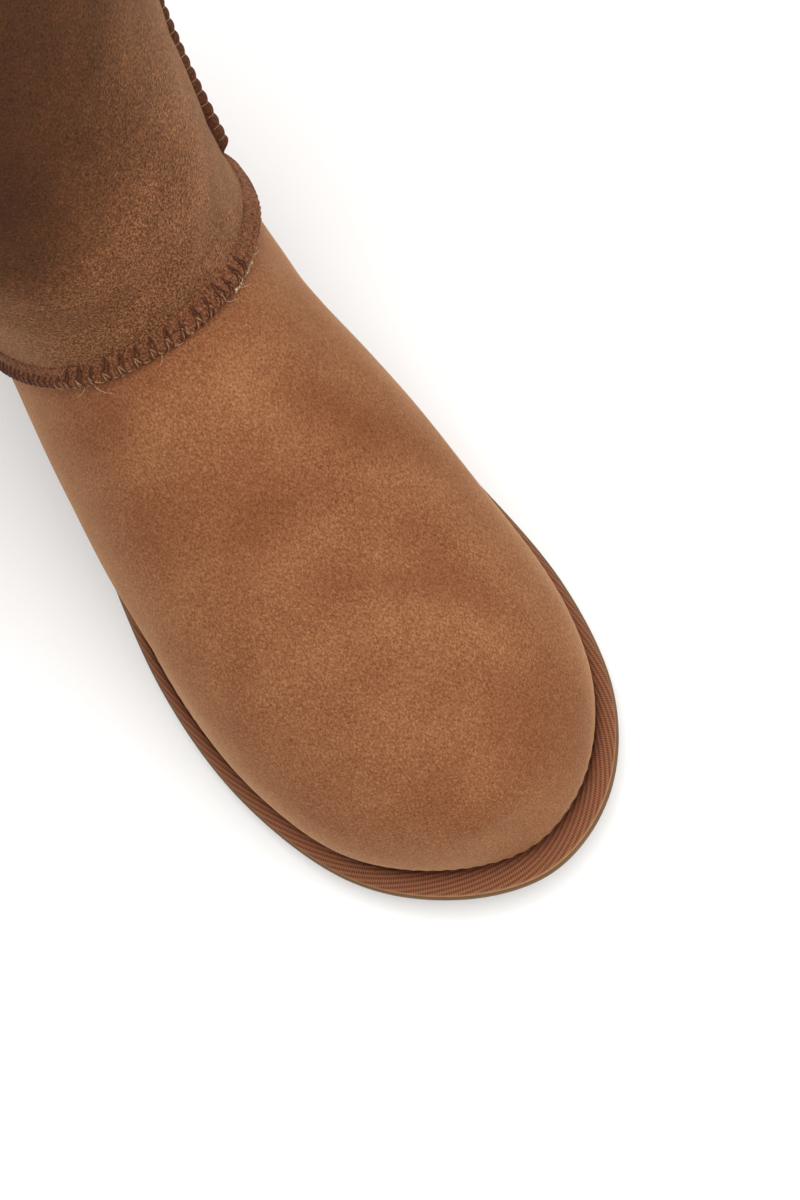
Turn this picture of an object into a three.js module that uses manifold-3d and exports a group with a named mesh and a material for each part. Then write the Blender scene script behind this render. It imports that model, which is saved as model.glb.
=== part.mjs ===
// Right sheepskin pull-on boot, empty, standing on its sole. Millimetres.
// X runs across the foot (+X is the big-toe side), Y runs along it (the toe faces -Y), Z is up from the floor.
// Built as the real boot is: a one-piece vamp closed over the last, a front and a back shaft panel,
// overlocked seams where the hides meet, a heel counter, a welt tape, an insole and a thin outsole.
import * as THREE from "three";
import Module from "manifold-3d";

const wasm = await Module();
wasm.setup();

// ---------------------------------------------------------------- named sizes
const Y_OF_TOE_MARK = 129.5; // "along" is measured back from the toe mark, Y = along - this
const X_SHIFT = 2.8; // centres the whole boot on X = 0
const WALL = 9; // hide and fleece together
const GAP = 0.3; // clearance between pieces that meet
const COLLAR_Z = 208;
const SOLE_THICK_FRONT = 14; // floor to featherline under the forefoot
const SOLE_THICK_HEEL = 21; // floor to featherline under the heel
const TAPE_HEIGHT = 5; // the tape covers this much above the outsole
const TOE_SPRING = 8;
const TOE_SPRING_ALONG = 48;
const HEEL_KICK = 3;
const HEEL_KICK_ALONG = 240;
const SIDE_SEAM_DEG = 90; // side seams, degrees round the leg from the front
const SEAM_STATION = 6.25; // outline station where the vamp ends at the sole
const SEAM_SIDE_Z = 60; // where vamp, front panel and back panel meet
const SEAM_TOP_Z = 100; // vamp seam on the instep
const SEAM_CORNER = 0.3; // share of the seam that runs up the side
const SEAM_RISE = 1.2;

// Outsole outline from the toe, round the big-toe side to the heel and back up the outer side.
// ledge is how far the featherline sits inside the outline.
const OUTLINE = [
  { x: 8, along: -3, ledge: 7.5 },
  { x: 31, along: 6, ledge: 7 },
  { x: 46.5, along: 28, ledge: 5.5 },
  { x: 51.5, along: 59, ledge: 4 },
  { x: 48, along: 95, ledge: 3 },
  { x: 40.5, along: 135, ledge: 3 },
  { x: 36.5, along: 175, ledge: 3.5 },
  { x: 36.5, along: 212, ledge: 4 },
  { x: 30, along: 245, ledge: 4.5 },
  { x: 0, along: 262, ledge: 5 },
  { x: -30, along: 245, ledge: 4.5 },
  { x: -37.5, along: 212, ledge: 4 },
  { x: -42.5, along: 175, ledge: 4 },
  { x: -50, along: 135, ledge: 3.5 },
  { x: -54.5, along: 95, ledge: 4 },
  { x: -51, along: 58, ledge: 5 },
  { x: -38, along: 25, ledge: 6 },
  { x: -17, along: 5, ledge: 7 },
];
const STATIONS = OUTLINE.length;

// Arches of the vamp from the toe to the seam: the outline station where the arch starts and ends,
// its ridge point, how round it is and how far its sides swell over the sole.
const ARCHES = [
  { station: 0, x: 7, along: 4.5, z: 20.5, round: 2.2, swell: 0 },
  { station: 0.35, x: 5.5, along: 9, z: 35, round: 2.2, swell: 0.03 },
  { station: 0.8, x: 5, along: 12.5, z: 45, round: 2.2, swell: 0.05 },
  { station: 1.3, x: 4.5, along: 20.5, z: 52.5, round: 2.2, swell: 0.06 },
  { station: 1.85, x: 3.5, along: 33, z: 58.5, round: 2.2, swell: 0.06 },
  { station: 2.5, x: 2.5, along: 50, z: 64.5, round: 2.2, swell: 0.04 },
  { station: 3.15, x: 1, along: 68, z: 71, round: 2.2, swell: 0.03 },
  { station: 3.85, x: -0.5, along: 86, z: 78.5, round: 2.2, swell: 0.02 },
  { station: 4.6, x: -1.5, along: 102, z: 86, round: 2.2, swell: 0.02 },
  { station: 5.4, x: -2, along: 116, z: 93, round: 2.2, swell: 0.06 },
  { station: 6.25, x: -2, along: 134, z: 100, round: 2.2, swell: 0.15 },
];

// Level rings of the leg: centre across, front, widest line, back, half width and roundness.
const RINGS = [
  { z: 20, x: -3, front: 130, middle: 184, back: 256, half: 37.5, round: 2.2 },
  { z: 60, x: -2, front: 136, middle: 188, back: 258, half: 37, round: 2.2 },
  { z: 100, x: -2, front: 134, middle: 197, back: 257, half: 38, round: 2.2 },
  { z: 150, x: -4, front: 138, middle: 202, back: 259, half: 44, round: 2.1 },
  { z: 208, x: -4, front: 141, middle: 203, back: 261, half: 49.5, round: 2 },
];

// ---------------------------------------------------------------- curves
// Value at step u of a smooth curve through the rows (Catmull-Rom, passes through every row).
function curveValue(rows, key, u, closed) {
  const count = rows.length;
  let i = Math.floor(u);
  if (!closed) i = Math.min(Math.max(i, 0), count - 2);
  const t = u - i;
  const at = (k) => {
    if (closed) return rows[(((i + k) % count) + count) % count][key];
    if (i + k < 0) return 2 * rows[0][key] - rows[1][key];
    if (i + k > count - 1) return 2 * rows[count - 1][key] - rows[count - 2][key];
    return rows[i + k][key];
  };
  const [a, b, c, d] = [at(-1), at(0), at(1), at(2)];
  const t2 = t * t;
  return 0.5 * (2 * b + (c - a) * t + (2 * a - 5 * b + 4 * c - d) * t2 + (3 * b - a - 3 * c + d) * t2 * t);
}

function smoothStep(x, from, to) {
  const t = Math.min(Math.max((x - from) / (to - from), 0), 1);
  return t * t * (3 - 2 * t);
}

const mix = (a, b, t) => a + (b - a) * t;
const power = (v, p) => Math.sign(v) * Math.abs(v) ** p;
const point = (x, along, z) => new THREE.Vector3(x + X_SHIFT, along - Y_OF_TOE_MARK, z);

// ---------------------------------------------------------------- sole lines
// Outline point at a station, moved in by an inset square to the outline: [x, along].
function outlineAt(station, inset = 0) {
  const value = (key, s) => curveValue(OUTLINE, key, s, true);
  const step = 1e-3;
  const dx = value("x", station + step) - value("x", station - step);
  const da = value("along", station + step) - value("along", station - step);
  const size = Math.hypot(dx, da);
  return [value("x", station) - (inset * da) / size, value("along", station) + (inset * dx) / size];
}

const ledgeAt = (station) => curveValue(OUTLINE, "ledge", station, true);
const toeSpring = (along) => TOE_SPRING * (Math.max(TOE_SPRING_ALONG - along, 0) / TOE_SPRING_ALONG) ** 2;
const heelKick = (along) => HEEL_KICK * (Math.max(along - HEEL_KICK_ALONG, 0) / 22) ** 2;

// Height of the featherline, where the upper meets the sole.
function featherZ(along) {
  return toeSpring(along) + mix(SOLE_THICK_FRONT, SOLE_THICK_HEEL, smoothStep(along, 95, 200));
}

function featherAt(station) {
  const [x, along] = outlineAt(station, ledgeAt(station));
  return [x, along, featherZ(along)];
}

// ---------------------------------------------------------------- leg surface
// Point of the leg at an angle round from the front (degrees, big-toe side positive) and a height.
function ringAt(angle, z) {
  let k = 0;
  while (k < RINGS.length - 2 && z > RINGS[k + 1].z) k += 1;
  const u = k + Math.min(Math.max((z - RINGS[k].z) / (RINGS[k + 1].z - RINGS[k].z), 0), 1);
  const value = (key) => curveValue(RINGS, key, u, false);
  const a = (angle * Math.PI) / 180;
  const across = power(Math.sin(a), 2 / value("round"));
  const ahead = power(Math.cos(a), 2 / value("round"));
  const reach = ahead > 0 ? value("middle") - value("front") : value("back") - value("middle");
  return [value("x") + value("half") * across, value("middle") - reach * ahead];
}

// The leg, drawn onto the heel featherline at its foot.
function legAt(angle, z) {
  const turn = ((angle % 360) + 360) % 360;
  const held = Math.min(Math.max(turn, SIDE_SEAM_DEG), 360 - SIDE_SEAM_DEG);
  const share = (held - SIDE_SEAM_DEG) / (180 - SIDE_SEAM_DEG);
  const foot = featherAt(SEAM_STATION + share * (STATIONS / 2 - SEAM_STATION));
  const base = ringAt(held, foot[2]);
  const here = ringAt(angle, z);
  const pull = 1 - smoothStep(z, foot[2], foot[2] + 45);
  return point(here[0] + pull * (foot[0] - base[0]), here[1] + pull * (foot[1] - base[1]), z);
}

function heelFeatherZ(angle) {
  const share = (angle - SIDE_SEAM_DEG) / (180 - SIDE_SEAM_DEG);
  return featherAt(SEAM_STATION + share * (STATIONS / 2 - SEAM_STATION))[2];
}

// ---------------------------------------------------------------- vamp seam
// arc runs 0 to 1 from the outer featherline over the instep to the big-toe side.
// Gives the seam's angle round the leg and its height.
function seamPlace(arc) {
  const climb = 1 - Math.abs(2 * arc - 1);
  const side = arc < 0.5 ? -1 : 1;
  const foot = featherAt(SEAM_STATION)[2];
  if (climb <= SEAM_CORNER) return [side * SIDE_SEAM_DEG, mix(foot, SEAM_SIDE_Z, climb / SEAM_CORNER)];
  const over = (climb - SEAM_CORNER) / (1 - SEAM_CORNER);
  const rise = Math.sin((Math.PI / 2) * over) ** SEAM_RISE;
  return [side * SIDE_SEAM_DEG * (1 - over), mix(SEAM_SIDE_Z, SEAM_TOP_Z, rise)];
}

const seamAt = (arc) => legAt(...seamPlace(arc));

// ---------------------------------------------------------------- vamp surface
function archAt(run, arc) {
  const u = run * (ARCHES.length - 1);
  const value = (key) => curveValue(ARCHES, key, u, false);
  const station = Math.max(value("station"), 0);
  const near = point(...featherAt(station));
  const far = point(...featherAt(STATIONS - station));
  const centre = near.clone().add(far).multiplyScalar(0.5);
  const reach = near.clone().sub(far).multiplyScalar(0.5);
  const ridge = point(value("x"), value("along"), value("z"));
  const turn = Math.PI * arc;
  const lift = Math.abs(Math.sin(turn)) ** (2 / value("round"));
  const across = -power(Math.cos(turn), 2 / value("round"));
  const swell = 1 + value("swell") * 6.75 * lift * (1 - lift) ** 2;
  return centre
    .clone()
    .addScaledVector(reach, across * swell)
    .addScaledVector(ridge.sub(centre), lift);
}

// run is 0 at the toe and 1 at the seam; the last half is drawn onto the seam line.
function vampAt(run, arc) {
  const pull = smoothStep(run, 0.45, 1);
  const shift = seamAt(arc).sub(archAt(1, arc));
  return archAt(run, arc).addScaledVector(shift, pull);
}

// ---------------------------------------------------------------- normals
// Outward unit normal of a surface at (a, b), by differences inside its limits.
function normalOf(surface, a, b, limits) {
  const step = 4e-3;
  const [a0, a1, b0, b1] = limits;
  const sa = step * (a1 - a0);
  const sb = step * (b1 - b0);
  const along = surface(Math.min(a + sa, a1), b).sub(surface(Math.max(a - sa, a0), b));
  const across = surface(a, Math.min(b + sb, b1)).sub(surface(a, Math.max(b - sb, b0)));
  return across.cross(along).normalize();
}

const legNormal = (angle, z) => normalOf(legAt, angle, z, [-360, 720, 15, COLLAR_Z]).negate();

// The normal both sides of the vamp seam share, so their cut edges lie face to face.
function seamNormal(arc) {
  const inner = Math.min(Math.max(arc, 0.004), 0.996);
  const ofVamp = normalOf(vampAt, 0.99, inner, [0.02, 1, 0, 1]);
  return ofVamp.add(legNormal(...seamPlace(arc))).normalize();
}

// Near the sole the wall is upright, so a normal there is turned level.
function levelled(normal, share) {
  const n = normal.clone();
  n.z *= share;
  return n.normalize();
}

function vampNormal(run, arc) {
  const inner = Math.min(Math.max(arc, 0.01), 0.99);
  const own = normalOf(vampAt, Math.max(run, 0.05), inner, [0.02, 1, 0, 1]);
  const climb = 1 - Math.abs(2 * arc - 1);
  const toe = 1 - smoothStep(run, 0, 0.08);
  const flat = levelled(own, smoothStep(climb, 0, 0.3) * (1 - toe));
  const ahead = new THREE.Vector3(0, -1, 0);
  flat.lerp(ahead, toe).normalize();
  return flat.lerp(seamNormal(arc), smoothStep(run, 0.88, 1)).normalize();
}

function panelNormal(angle, z) {
  const turn = ((angle % 360) + 360) % 360;
  const isBack = turn >= SIDE_SEAM_DEG && turn <= 360 - SIDE_SEAM_DEG;
  const own = legNormal(angle, z);
  return isBack ? levelled(own, smoothStep(z, 21, 45)) : own;
}

// ---------------------------------------------------------------- solids
function meshOf(vertices, triangles) {
  const geometry = new THREE.BufferGeometry();
  geometry.setAttribute("position", new THREE.Float32BufferAttribute(vertices.flatMap((v) => [v.x, v.y, v.z]), 3));
  geometry.setIndex(triangles);
  return geometry;
}

// A wall between two grids of the same size, closed round its four edges.
function wallSolid(outer, inner) {
  const rows = outer.length;
  const columns = outer[0].length;
  const vertices = [];
  const index = new Map();
  const numberOf = (v) => {
    const key = [v.x, v.y, v.z].map((c) => Math.round(c * 1e4)).join();
    if (!index.has(key)) {
      index.set(key, vertices.length);
      vertices.push(v);
    }
    return index.get(key);
  };
  const out = outer.map((row) => row.map(numberOf));
  const inn = inner.map((row) => row.map(numberOf));
  const triangles = [];
  const triangle = (a, b, c) => {
    if (a !== b && b !== c && c !== a) triangles.push(a, b, c);
  };
  const quad = (a, b, c, d) => {
    triangle(a, b, c);
    triangle(a, c, d);
  };
  for (let i = 0; i < rows - 1; i += 1) {
    for (let j = 0; j < columns - 1; j += 1) {
      quad(out[i][j], out[i][j + 1], out[i + 1][j + 1], out[i + 1][j]);
      quad(inn[i][j], inn[i + 1][j], inn[i + 1][j + 1], inn[i][j + 1]);
    }
    quad(out[i][0], out[i + 1][0], inn[i + 1][0], inn[i][0]);
    quad(out[i + 1][columns - 1], out[i][columns - 1], inn[i][columns - 1], inn[i + 1][columns - 1]);
  }
  for (let j = 0; j < columns - 1; j += 1) {
    quad(out[0][j + 1], out[0][j], inn[0][j], inn[0][j + 1]);
    quad(out[rows - 1][j], out[rows - 1][j + 1], inn[rows - 1][j + 1], inn[rows - 1][j]);
  }
  return facingOut(meshOf(vertices, triangles));
}

// A bar with the same closed section at every station; sections run along the bar.
function barSolid(sections, isRing) {
  const count = sections.length;
  const sides = sections[0].length;
  const vertices = sections.flat();
  const triangles = [];
  const last = isRing ? count : count - 1;
  for (let i = 0; i < last; i += 1) {
    const next = (i + 1) % count;
    for (let j = 0; j < sides; j += 1) {
      const k = (j + 1) % sides;
      triangles.push(i * sides + j, next * sides + j, next * sides + k);
      triangles.push(i * sides + j, next * sides + k, i * sides + k);
    }
  }
  if (!isRing) {
    for (let j = 1; j < sides - 1; j += 1) {
      triangles.push(0, j, j + 1);
      const end = (count - 1) * sides;
      triangles.push(end, end + j + 1, end + j);
    }
  }
  return meshOf(vertices, triangles);
}

// Faces are turned outwards when a bar was run the other way.
function facingOut(geometry) {
  const position = geometry.getAttribute("position");
  const index = geometry.index.array;
  const [a, b, c] = [new THREE.Vector3(), new THREE.Vector3(), new THREE.Vector3()];
  let volume = 0;
  for (let i = 0; i < index.length; i += 3) {
    a.fromBufferAttribute(position, index[i]);
    b.fromBufferAttribute(position, index[i + 1]);
    c.fromBufferAttribute(position, index[i + 2]);
    volume += a.dot(b.cross(c));
  }
  if (volume > 0) return geometry;
  const turned = [];
  for (let i = 0; i < index.length; i += 3) turned.push(index[i], index[i + 2], index[i + 1]);
  geometry.setIndex(turned);
  return geometry;
}

const steps = (count) => Array.from({ length: count + 1 }, (_, i) => i / count);

// ---------------------------------------------------------------- upper: vamp
const SIDE_STEPS = 4; // seam samples from the sole to the corner
const OVER_STEPS = 18; // seam samples from corner to corner over the instep
const VAMP_ROWS = 24;

const corner = SEAM_CORNER / 2;
const seamArcs = [
  ...steps(SIDE_STEPS).map((t) => t * corner),
  ...steps(OVER_STEPS).slice(1, -1).map((t) => mix(corner, 1 - corner, t)),
  ...steps(SIDE_STEPS).map((t) => 1 - corner + t * corner),
];

const vampRuns = steps(VAMP_ROWS).map((t) => t ** 1.25);
const vampOuter = vampRuns.map((run) => seamArcs.map((arc) => vampAt(run, arc)));
const vampInner = vampRuns.map((run, i) =>
  seamArcs.map((arc, j) => vampOuter[i][j].clone().addScaledVector(vampNormal(run, arc), -WALL)),
);
const vamp = wallSolid(vampOuter, vampInner);

// ---------------------------------------------------------------- upper: shaft panels
const EDGE_DEG = 0.5; // half the gap at a side seam
const FRONT_ROWS = 9;
const BACK_COLUMNS = 30;
const BACK_ROWS = 9;

const overArcs = seamArcs.slice(SIDE_STEPS, SIDE_STEPS + OVER_STEPS + 1);
const frontOuter = [];
const frontInner = [];
for (const t of steps(FRONT_ROWS)) {
  const outer = [];
  const inner = [];
  for (const arc of overArcs) {
    const [seamAngle, seamZ] = seamPlace(arc);
    const limit = SIDE_SEAM_DEG - EDGE_DEG;
    const angle = Math.min(Math.max(seamAngle, -limit), limit);
    const z = mix(seamZ + 2 * GAP, COLLAR_Z, t);
    const normal = panelNormal(angle, z).lerp(seamNormal(arc), 1 - smoothStep(t, 0, 0.12)).normalize();
    const p = legAt(angle, z);
    outer.push(p);
    inner.push(p.clone().addScaledVector(normal, -WALL));
  }
  frontOuter.push(outer);
  frontInner.push(inner);
}
frontInner[FRONT_ROWS].forEach((v) => v.setZ(COLLAR_Z));
const shaftFront = wallSolid(frontOuter, frontInner);

const backTurns = steps(BACK_COLUMNS).map((t) => mix(SIDE_SEAM_DEG + EDGE_DEG, 360 - SIDE_SEAM_DEG - EDGE_DEG, t));
const backHeights = (angle) => {
  const foot = heelFeatherZ(angle);
  const low = steps(SIDE_STEPS).map((t) => mix(foot, SEAM_SIDE_Z, t));
  const high = steps(BACK_ROWS).slice(1).map((t) => mix(SEAM_SIDE_Z, COLLAR_Z, t));
  return [...low, ...high];
};
const backGrid = backTurns.map((angle) => backHeights(angle).map((z) => [angle, z]));
const backOuter = backHeights(180).map((_, i) => backGrid.map((column) => legAt(...column[i])));
const backInner = backHeights(180).map((_, i) =>
  backGrid.map((column, j) => backOuter[i][j].clone().addScaledVector(panelNormal(...column[i]), -WALL)),
);
backInner[backInner.length - 1].forEach((v) => v.setZ(COLLAR_Z));
const shaftBack = wallSolid(backOuter, backInner);

// ---------------------------------------------------------------- heel counter, proud of the back panel
const COUNTER_THICK = 1.8;
const COUNTER_HALF_DEG = 62;
const COUNTER_TOP_Z = 64;
const COUNTER_END_Z = 30;
const counterTurns = steps(22).map((t) => mix(180 - COUNTER_HALF_DEG, 180 + COUNTER_HALF_DEG, t));
const counterTop = (angle) => {
  const share = Math.abs(angle - 180) / COUNTER_HALF_DEG;
  return mix(COUNTER_END_Z, COUNTER_TOP_Z, (1 - share ** 2.4) ** 0.7);
};
const counterSkin = (lift) =>
  steps(6).map((t) =>
    counterTurns.map((angle) => {
      const z = mix(heelFeatherZ(angle) + GAP, counterTop(angle), t);
      return legAt(angle, z).addScaledVector(panelNormal(angle, z), lift);
    }),
  );
const heelCounter = wallSolid(counterSkin(GAP + 0.25 + COUNTER_THICK), counterSkin(GAP + 0.25));

// ---------------------------------------------------------------- overlocked seams
// The flared lip where the shaft is sewn down on the vamp: a wedge lying in the corner of the two.
// Each row is a corner of its section: distance out on the vamp or up the shaft, and height off it.
const LIP_SECTION = [
  { onVamp: 0.3, onShaft: 0, height: 0.6 },
  { onVamp: 4.6, onShaft: 0, height: 1.0 },
  { onVamp: 5.1, onShaft: 0, height: 2.4 },
  { onVamp: 4.0, onShaft: 0, height: 3.7 },
  { onVamp: 0.6, onShaft: 0.6, height: 3.3 },
  { onVamp: 0, onShaft: 4.4, height: 1.3 },
  { onVamp: 0, onShaft: 4.6, height: 0.5 },
];

function lipSection(arc) {
  const [angle, z] = seamPlace(arc);
  const inner = Math.min(Math.max(arc, 0.004), 0.996);
  const origin = seamAt(arc);
  const onVampNormal = normalOf(vampAt, 0.985, inner, [0.02, 1, 0, 1]);
  const out = vampAt(0.985, arc).sub(origin).normalize();
  const sidePart = 1 - smoothStep(1 - Math.abs(2 * arc - 1), SEAM_CORNER - 0.02, SEAM_CORNER + 0.14);
  const upShaft = legAt(angle, z + 1).sub(legAt(angle, z)).normalize();
  const side = arc < 0.5 ? -1 : 1;
  const round = legAt(angle + side, z).sub(legAt(angle, z)).normalize();
  const up = upShaft.lerp(round, sidePart).normalize();
  const shaftNormal = legNormal(angle, z);
  const shared = seamNormal(arc);
  return LIP_SECTION.map(({ onVamp, onShaft, height }) => {
    const normal = onShaft === 0 ? onVampNormal : onVamp === 0 ? shaftNormal : shared;
    return origin
      .clone()
      .addScaledVector(out, onVamp)
      .addScaledVector(up, onShaft)
      .addScaledVector(onVamp === 0.3 ? shared : normal, height);
  });
}

const lipArcs = steps(64).map((t) => mix(0.005, 0.995, t));
const vampSeam = facingOut(barSolid(lipArcs.map(lipSection), false));

// The raised fin of a side seam: half width along the leg's skin, and height off it.
const FIN_SECTION = [
  { beside: -2.3, height: 0.5 },
  { beside: -2.3, height: 2.4 },
  { beside: -1.2, height: 3.7 },
  { beside: 1.2, height: 3.7 },
  { beside: 2.3, height: 2.4 },
  { beside: 2.3, height: 0.5 },
];
const FIN_FOOT_Z = SEAM_SIDE_Z + 5.1;

function finSolid(angle) {
  const sections = steps(18).map((t) => {
    const z = mix(FIN_FOOT_Z, COLLAR_Z, t);
    const origin = legAt(angle, z);
    const normal = levelled(legNormal(angle, z), 0);
    const beside = new THREE.Vector3(-normal.y, normal.x, 0);
    return FIN_SECTION.map((c) =>
      origin.clone().addScaledVector(beside, c.beside).addScaledVector(normal, c.height),
    );
  });
  return facingOut(barSolid(sections, false));
}

// ---------------------------------------------------------------- welt tape, insole
const RING_STEPS = 96;
const ringStations = steps(RING_STEPS).slice(0, -1).map((t) => t * STATIONS);

// Section of the tape: inset from the outline, height from the featherline.
function tapeSection(station) {
  const ledge = ledgeAt(station);
  const rows = [
    { inset: 1.1, rise: -TAPE_HEIGHT + GAP },
    { inset: 0.8, rise: -3.4 },
    { inset: 0.8 + 0.16 * ledge, rise: -2.0 },
    { inset: 0.62 * ledge, rise: -0.9 },
    { inset: ledge - 0.3, rise: -0.4 },
    { inset: ledge + WALL, rise: -0.4 },
    { inset: ledge + WALL, rise: -TAPE_HEIGHT + GAP },
  ];
  return rows.map(({ inset, rise }) => {
    const [x, along] = outlineAt(station, inset);
    return point(x, along, featherZ(outlineAt(station, ledge)[1]) + rise);
  });
}
const weltTape = facingOut(barSolid(ringStations.map(tapeSection), true));

// A slab between stacked rings, with its bottom and top closed by a middle line from toe to heel.
function slabSolid(rings, bottomZ, topZ) {
  const count = rings[0].length;
  const half = count / 2;
  const vertices = rings.flat();
  const triangles = [];
  for (let r = 0; r < rings.length - 1; r += 1) {
    for (let i = 0; i < count; i += 1) {
      const k = (i + 1) % count;
      const [a, b] = [r * count + i, r * count + k];
      triangles.push(a, b, b + count, a, b + count, a + count);
    }
  }
  const cap = (offset, zOf, isTop) => {
    const ring = vertices.slice(offset, offset + count);
    const middle = [];
    for (let i = 1; i < half; i += 1) {
      const m = ring[i].clone().add(ring[count - i]).multiplyScalar(0.5);
      m.z = zOf(m.y + Y_OF_TOE_MARK, ring[i].z);
      middle.push(vertices.length);
      vertices.push(m);
    }
    const line = [offset, ...middle, offset + half];
    const face = (a, b, c) => {
      if (isTop) triangles.push(a, b, c);
      else triangles.push(a, c, b);
    };
    for (let i = 0; i < half; i += 1) {
      const right = [offset + i, offset + i + 1];
      const left = [offset + ((count - i) % count), offset + count - i - 1];
      if (i > 0) face(line[i], right[0], right[1]);
      face(line[i], right[1], line[i + 1]);
      if (i < half - 1) face(line[i], line[i + 1], left[1]);
      if (i > 0) face(line[i], left[1], left[0]);
    }
  };
  cap(0, bottomZ, false);
  cap((rings.length - 1) * count, topZ, true);
  return facingOut(meshOf(vertices, triangles));
}

const SLAB_STEPS = 72;
const slabStations = steps(SLAB_STEPS).slice(0, -1).map((t) => t * STATIONS);
const slabRing = (insetOf, zOf) =>
  slabStations.map((station) => {
    const [x, along] = outlineAt(station, insetOf(station));
    return point(x, along, zOf(outlineAt(station, ledgeAt(station))[1], along));
  });

const INSOLE_RISE = 4; // fleece of the insole above the featherline
const insole = slabSolid(
  [
    slabRing((s) => ledgeAt(s) + WALL + 0.5, (edge) => featherZ(edge) - TAPE_HEIGHT + GAP),
    slabRing((s) => ledgeAt(s) + WALL + 0.5, (edge) => featherZ(edge) - 0.5),
    slabRing((s) => ledgeAt(s) + WALL + 3, (edge) => featherZ(edge) + INSOLE_RISE),
  ],
  (along, z) => z,
  (along, z) => z - 0.8,
);

// ---------------------------------------------------------------- outsole
const ARCH_RELIEF = 2.5;
const archRelief = (along) => ARCH_RELIEF * smoothStep(along, 112, 130) * (1 - smoothStep(along, 168, 184));
const groundZ = (along) => toeSpring(along) + heelKick(along) + archRelief(along);
const soleTop = (edge) => featherZ(edge) - TAPE_HEIGHT;
const soleBody = slabSolid(
  [
    slabRing(() => 4.2, (edge, along) => groundZ(along)),
    slabRing(() => 2.2, (edge, along) => groundZ(along) + 1.4),
    slabRing(() => 0.1, (edge, along) => Math.max(soleTop(edge) - 1.5, groundZ(along) + 4)),
    slabRing(() => 0.3, (edge) => soleTop(edge)),
  ],
  (along) => groundZ(along),
  (along, z) => z,
);

// Tread: bowed grooves across the forefoot and the heel, leaving lugs and a plain rim.
const GROOVE_DEPTH = 2.2;
const GROOVE_WIDTH = 4.2;
const FORE_GROOVES = { first: 34, pitch: 12.5, count: 7, bow: 5 };
const HEEL_GROOVES = { first: 196, pitch: 12.5, count: 4, bow: -4 };
const RIM = 9;

// Half width available to a groove at a distance along, on each side of the foot.
function reachAt(along, side) {
  let best = 0;
  for (let s = 0; s <= STATIONS / 2; s += 0.05) {
    const [x, a] = outlineAt(side > 0 ? s : STATIONS - s, RIM);
    if (Math.abs(a - along) < 2.2 && side * x > best) best = side * x;
  }
  return best;
}

function grooveSolid(along, bow) {
  const from = -reachAt(along, -1);
  const to = reachAt(along, 1);
  const sections = steps(6).map((t) => {
    const x = mix(from, to, t);
    const a = along - bow * Math.sin(Math.PI * t) + bow / 2;
    const top = groundZ(a) + GROOVE_DEPTH;
    const w = GROOVE_WIDTH / 2;
    return [
      point(x, a - w, -6),
      point(x, a + w, -6),
      point(x, a + w * 0.75, top),
      point(x, a - w * 0.75, top),
    ];
  });
  return facingOut(barSolid(sections, false));
}

function solidOf(geometry) {
  const position = geometry.getAttribute("position").array;
  return new wasm.Manifold(
    new wasm.Mesh({ numProp: 3, vertProperties: new Float32Array(position), triVerts: new Uint32Array(geometry.index.array) }),
  );
}

let soleSolid = solidOf(soleBody);
for (const set of [FORE_GROOVES, HEEL_GROOVES]) {
  for (let i = 0; i < set.count; i += 1) {
    soleSolid = soleSolid.subtract(solidOf(grooveSolid(set.first + i * set.pitch, set.bow)));
  }
}
const soleMesh = soleSolid.getMesh();
const outsole = new THREE.BufferGeometry();
outsole.setAttribute("position", new THREE.BufferAttribute(soleMesh.vertProperties, 3));
outsole.setIndex(new THREE.BufferAttribute(soleMesh.triVerts, 1));

// ---------------------------------------------------------------- assembly
const boot = new THREE.Group();
function addPiece(name, geometry, colour) {
  const material = new THREE.MeshStandardMaterial({ color: colour, roughness: 0.9 });
  material.name = name;
  const mesh = new THREE.Mesh(geometry, material);
  mesh.name = name;
  boot.add(mesh);
}

addPiece("outsole", outsole, "#8a6a45");
addPiece("welt_tape", weltTape, "#74462c");
addPiece("insole", insole, "#d9bd94");
addPiece("upper_vamp", vamp, "#91593a");
addPiece("shaft_front", shaftFront, "#754a30");
addPiece("shaft_back", shaftBack, "#754a30");
addPiece("heel_counter", heelCounter, "#8a5537");
addPiece("vamp_seam", vampSeam, "#6f4229");
addPiece("side_seam_medial", finSolid(SIDE_SEAM_DEG), "#5b3420");
addPiece("side_seam_lateral", finSolid(-SIDE_SEAM_DEG), "#5b3420");

export default boot;
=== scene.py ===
import bmesh
import bpy
import numpy as np
from mathutils import Matrix, Vector


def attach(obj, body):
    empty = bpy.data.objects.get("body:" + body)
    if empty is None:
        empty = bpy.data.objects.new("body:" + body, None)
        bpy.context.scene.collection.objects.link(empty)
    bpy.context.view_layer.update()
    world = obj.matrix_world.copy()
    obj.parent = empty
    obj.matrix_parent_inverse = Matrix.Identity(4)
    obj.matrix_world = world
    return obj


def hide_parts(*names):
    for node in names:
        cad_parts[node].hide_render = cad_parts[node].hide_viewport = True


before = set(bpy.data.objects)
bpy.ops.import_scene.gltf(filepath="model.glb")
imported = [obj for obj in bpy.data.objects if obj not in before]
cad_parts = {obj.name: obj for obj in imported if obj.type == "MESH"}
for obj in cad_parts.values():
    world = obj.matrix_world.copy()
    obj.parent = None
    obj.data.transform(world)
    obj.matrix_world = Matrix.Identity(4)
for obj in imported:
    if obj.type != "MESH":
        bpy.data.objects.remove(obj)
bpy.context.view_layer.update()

# ------------------------------------------------------------------ outsole
# One moulded slab of light foamed rubber with the toe lifted, the waist relieved and a thicker heel.
# It is cast with its tread in the mould, then cemented to the tape that runs round the upper.
MM = 0.001
ALONG_MARK, X_SHIFT = 129.5, 2.8
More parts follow.
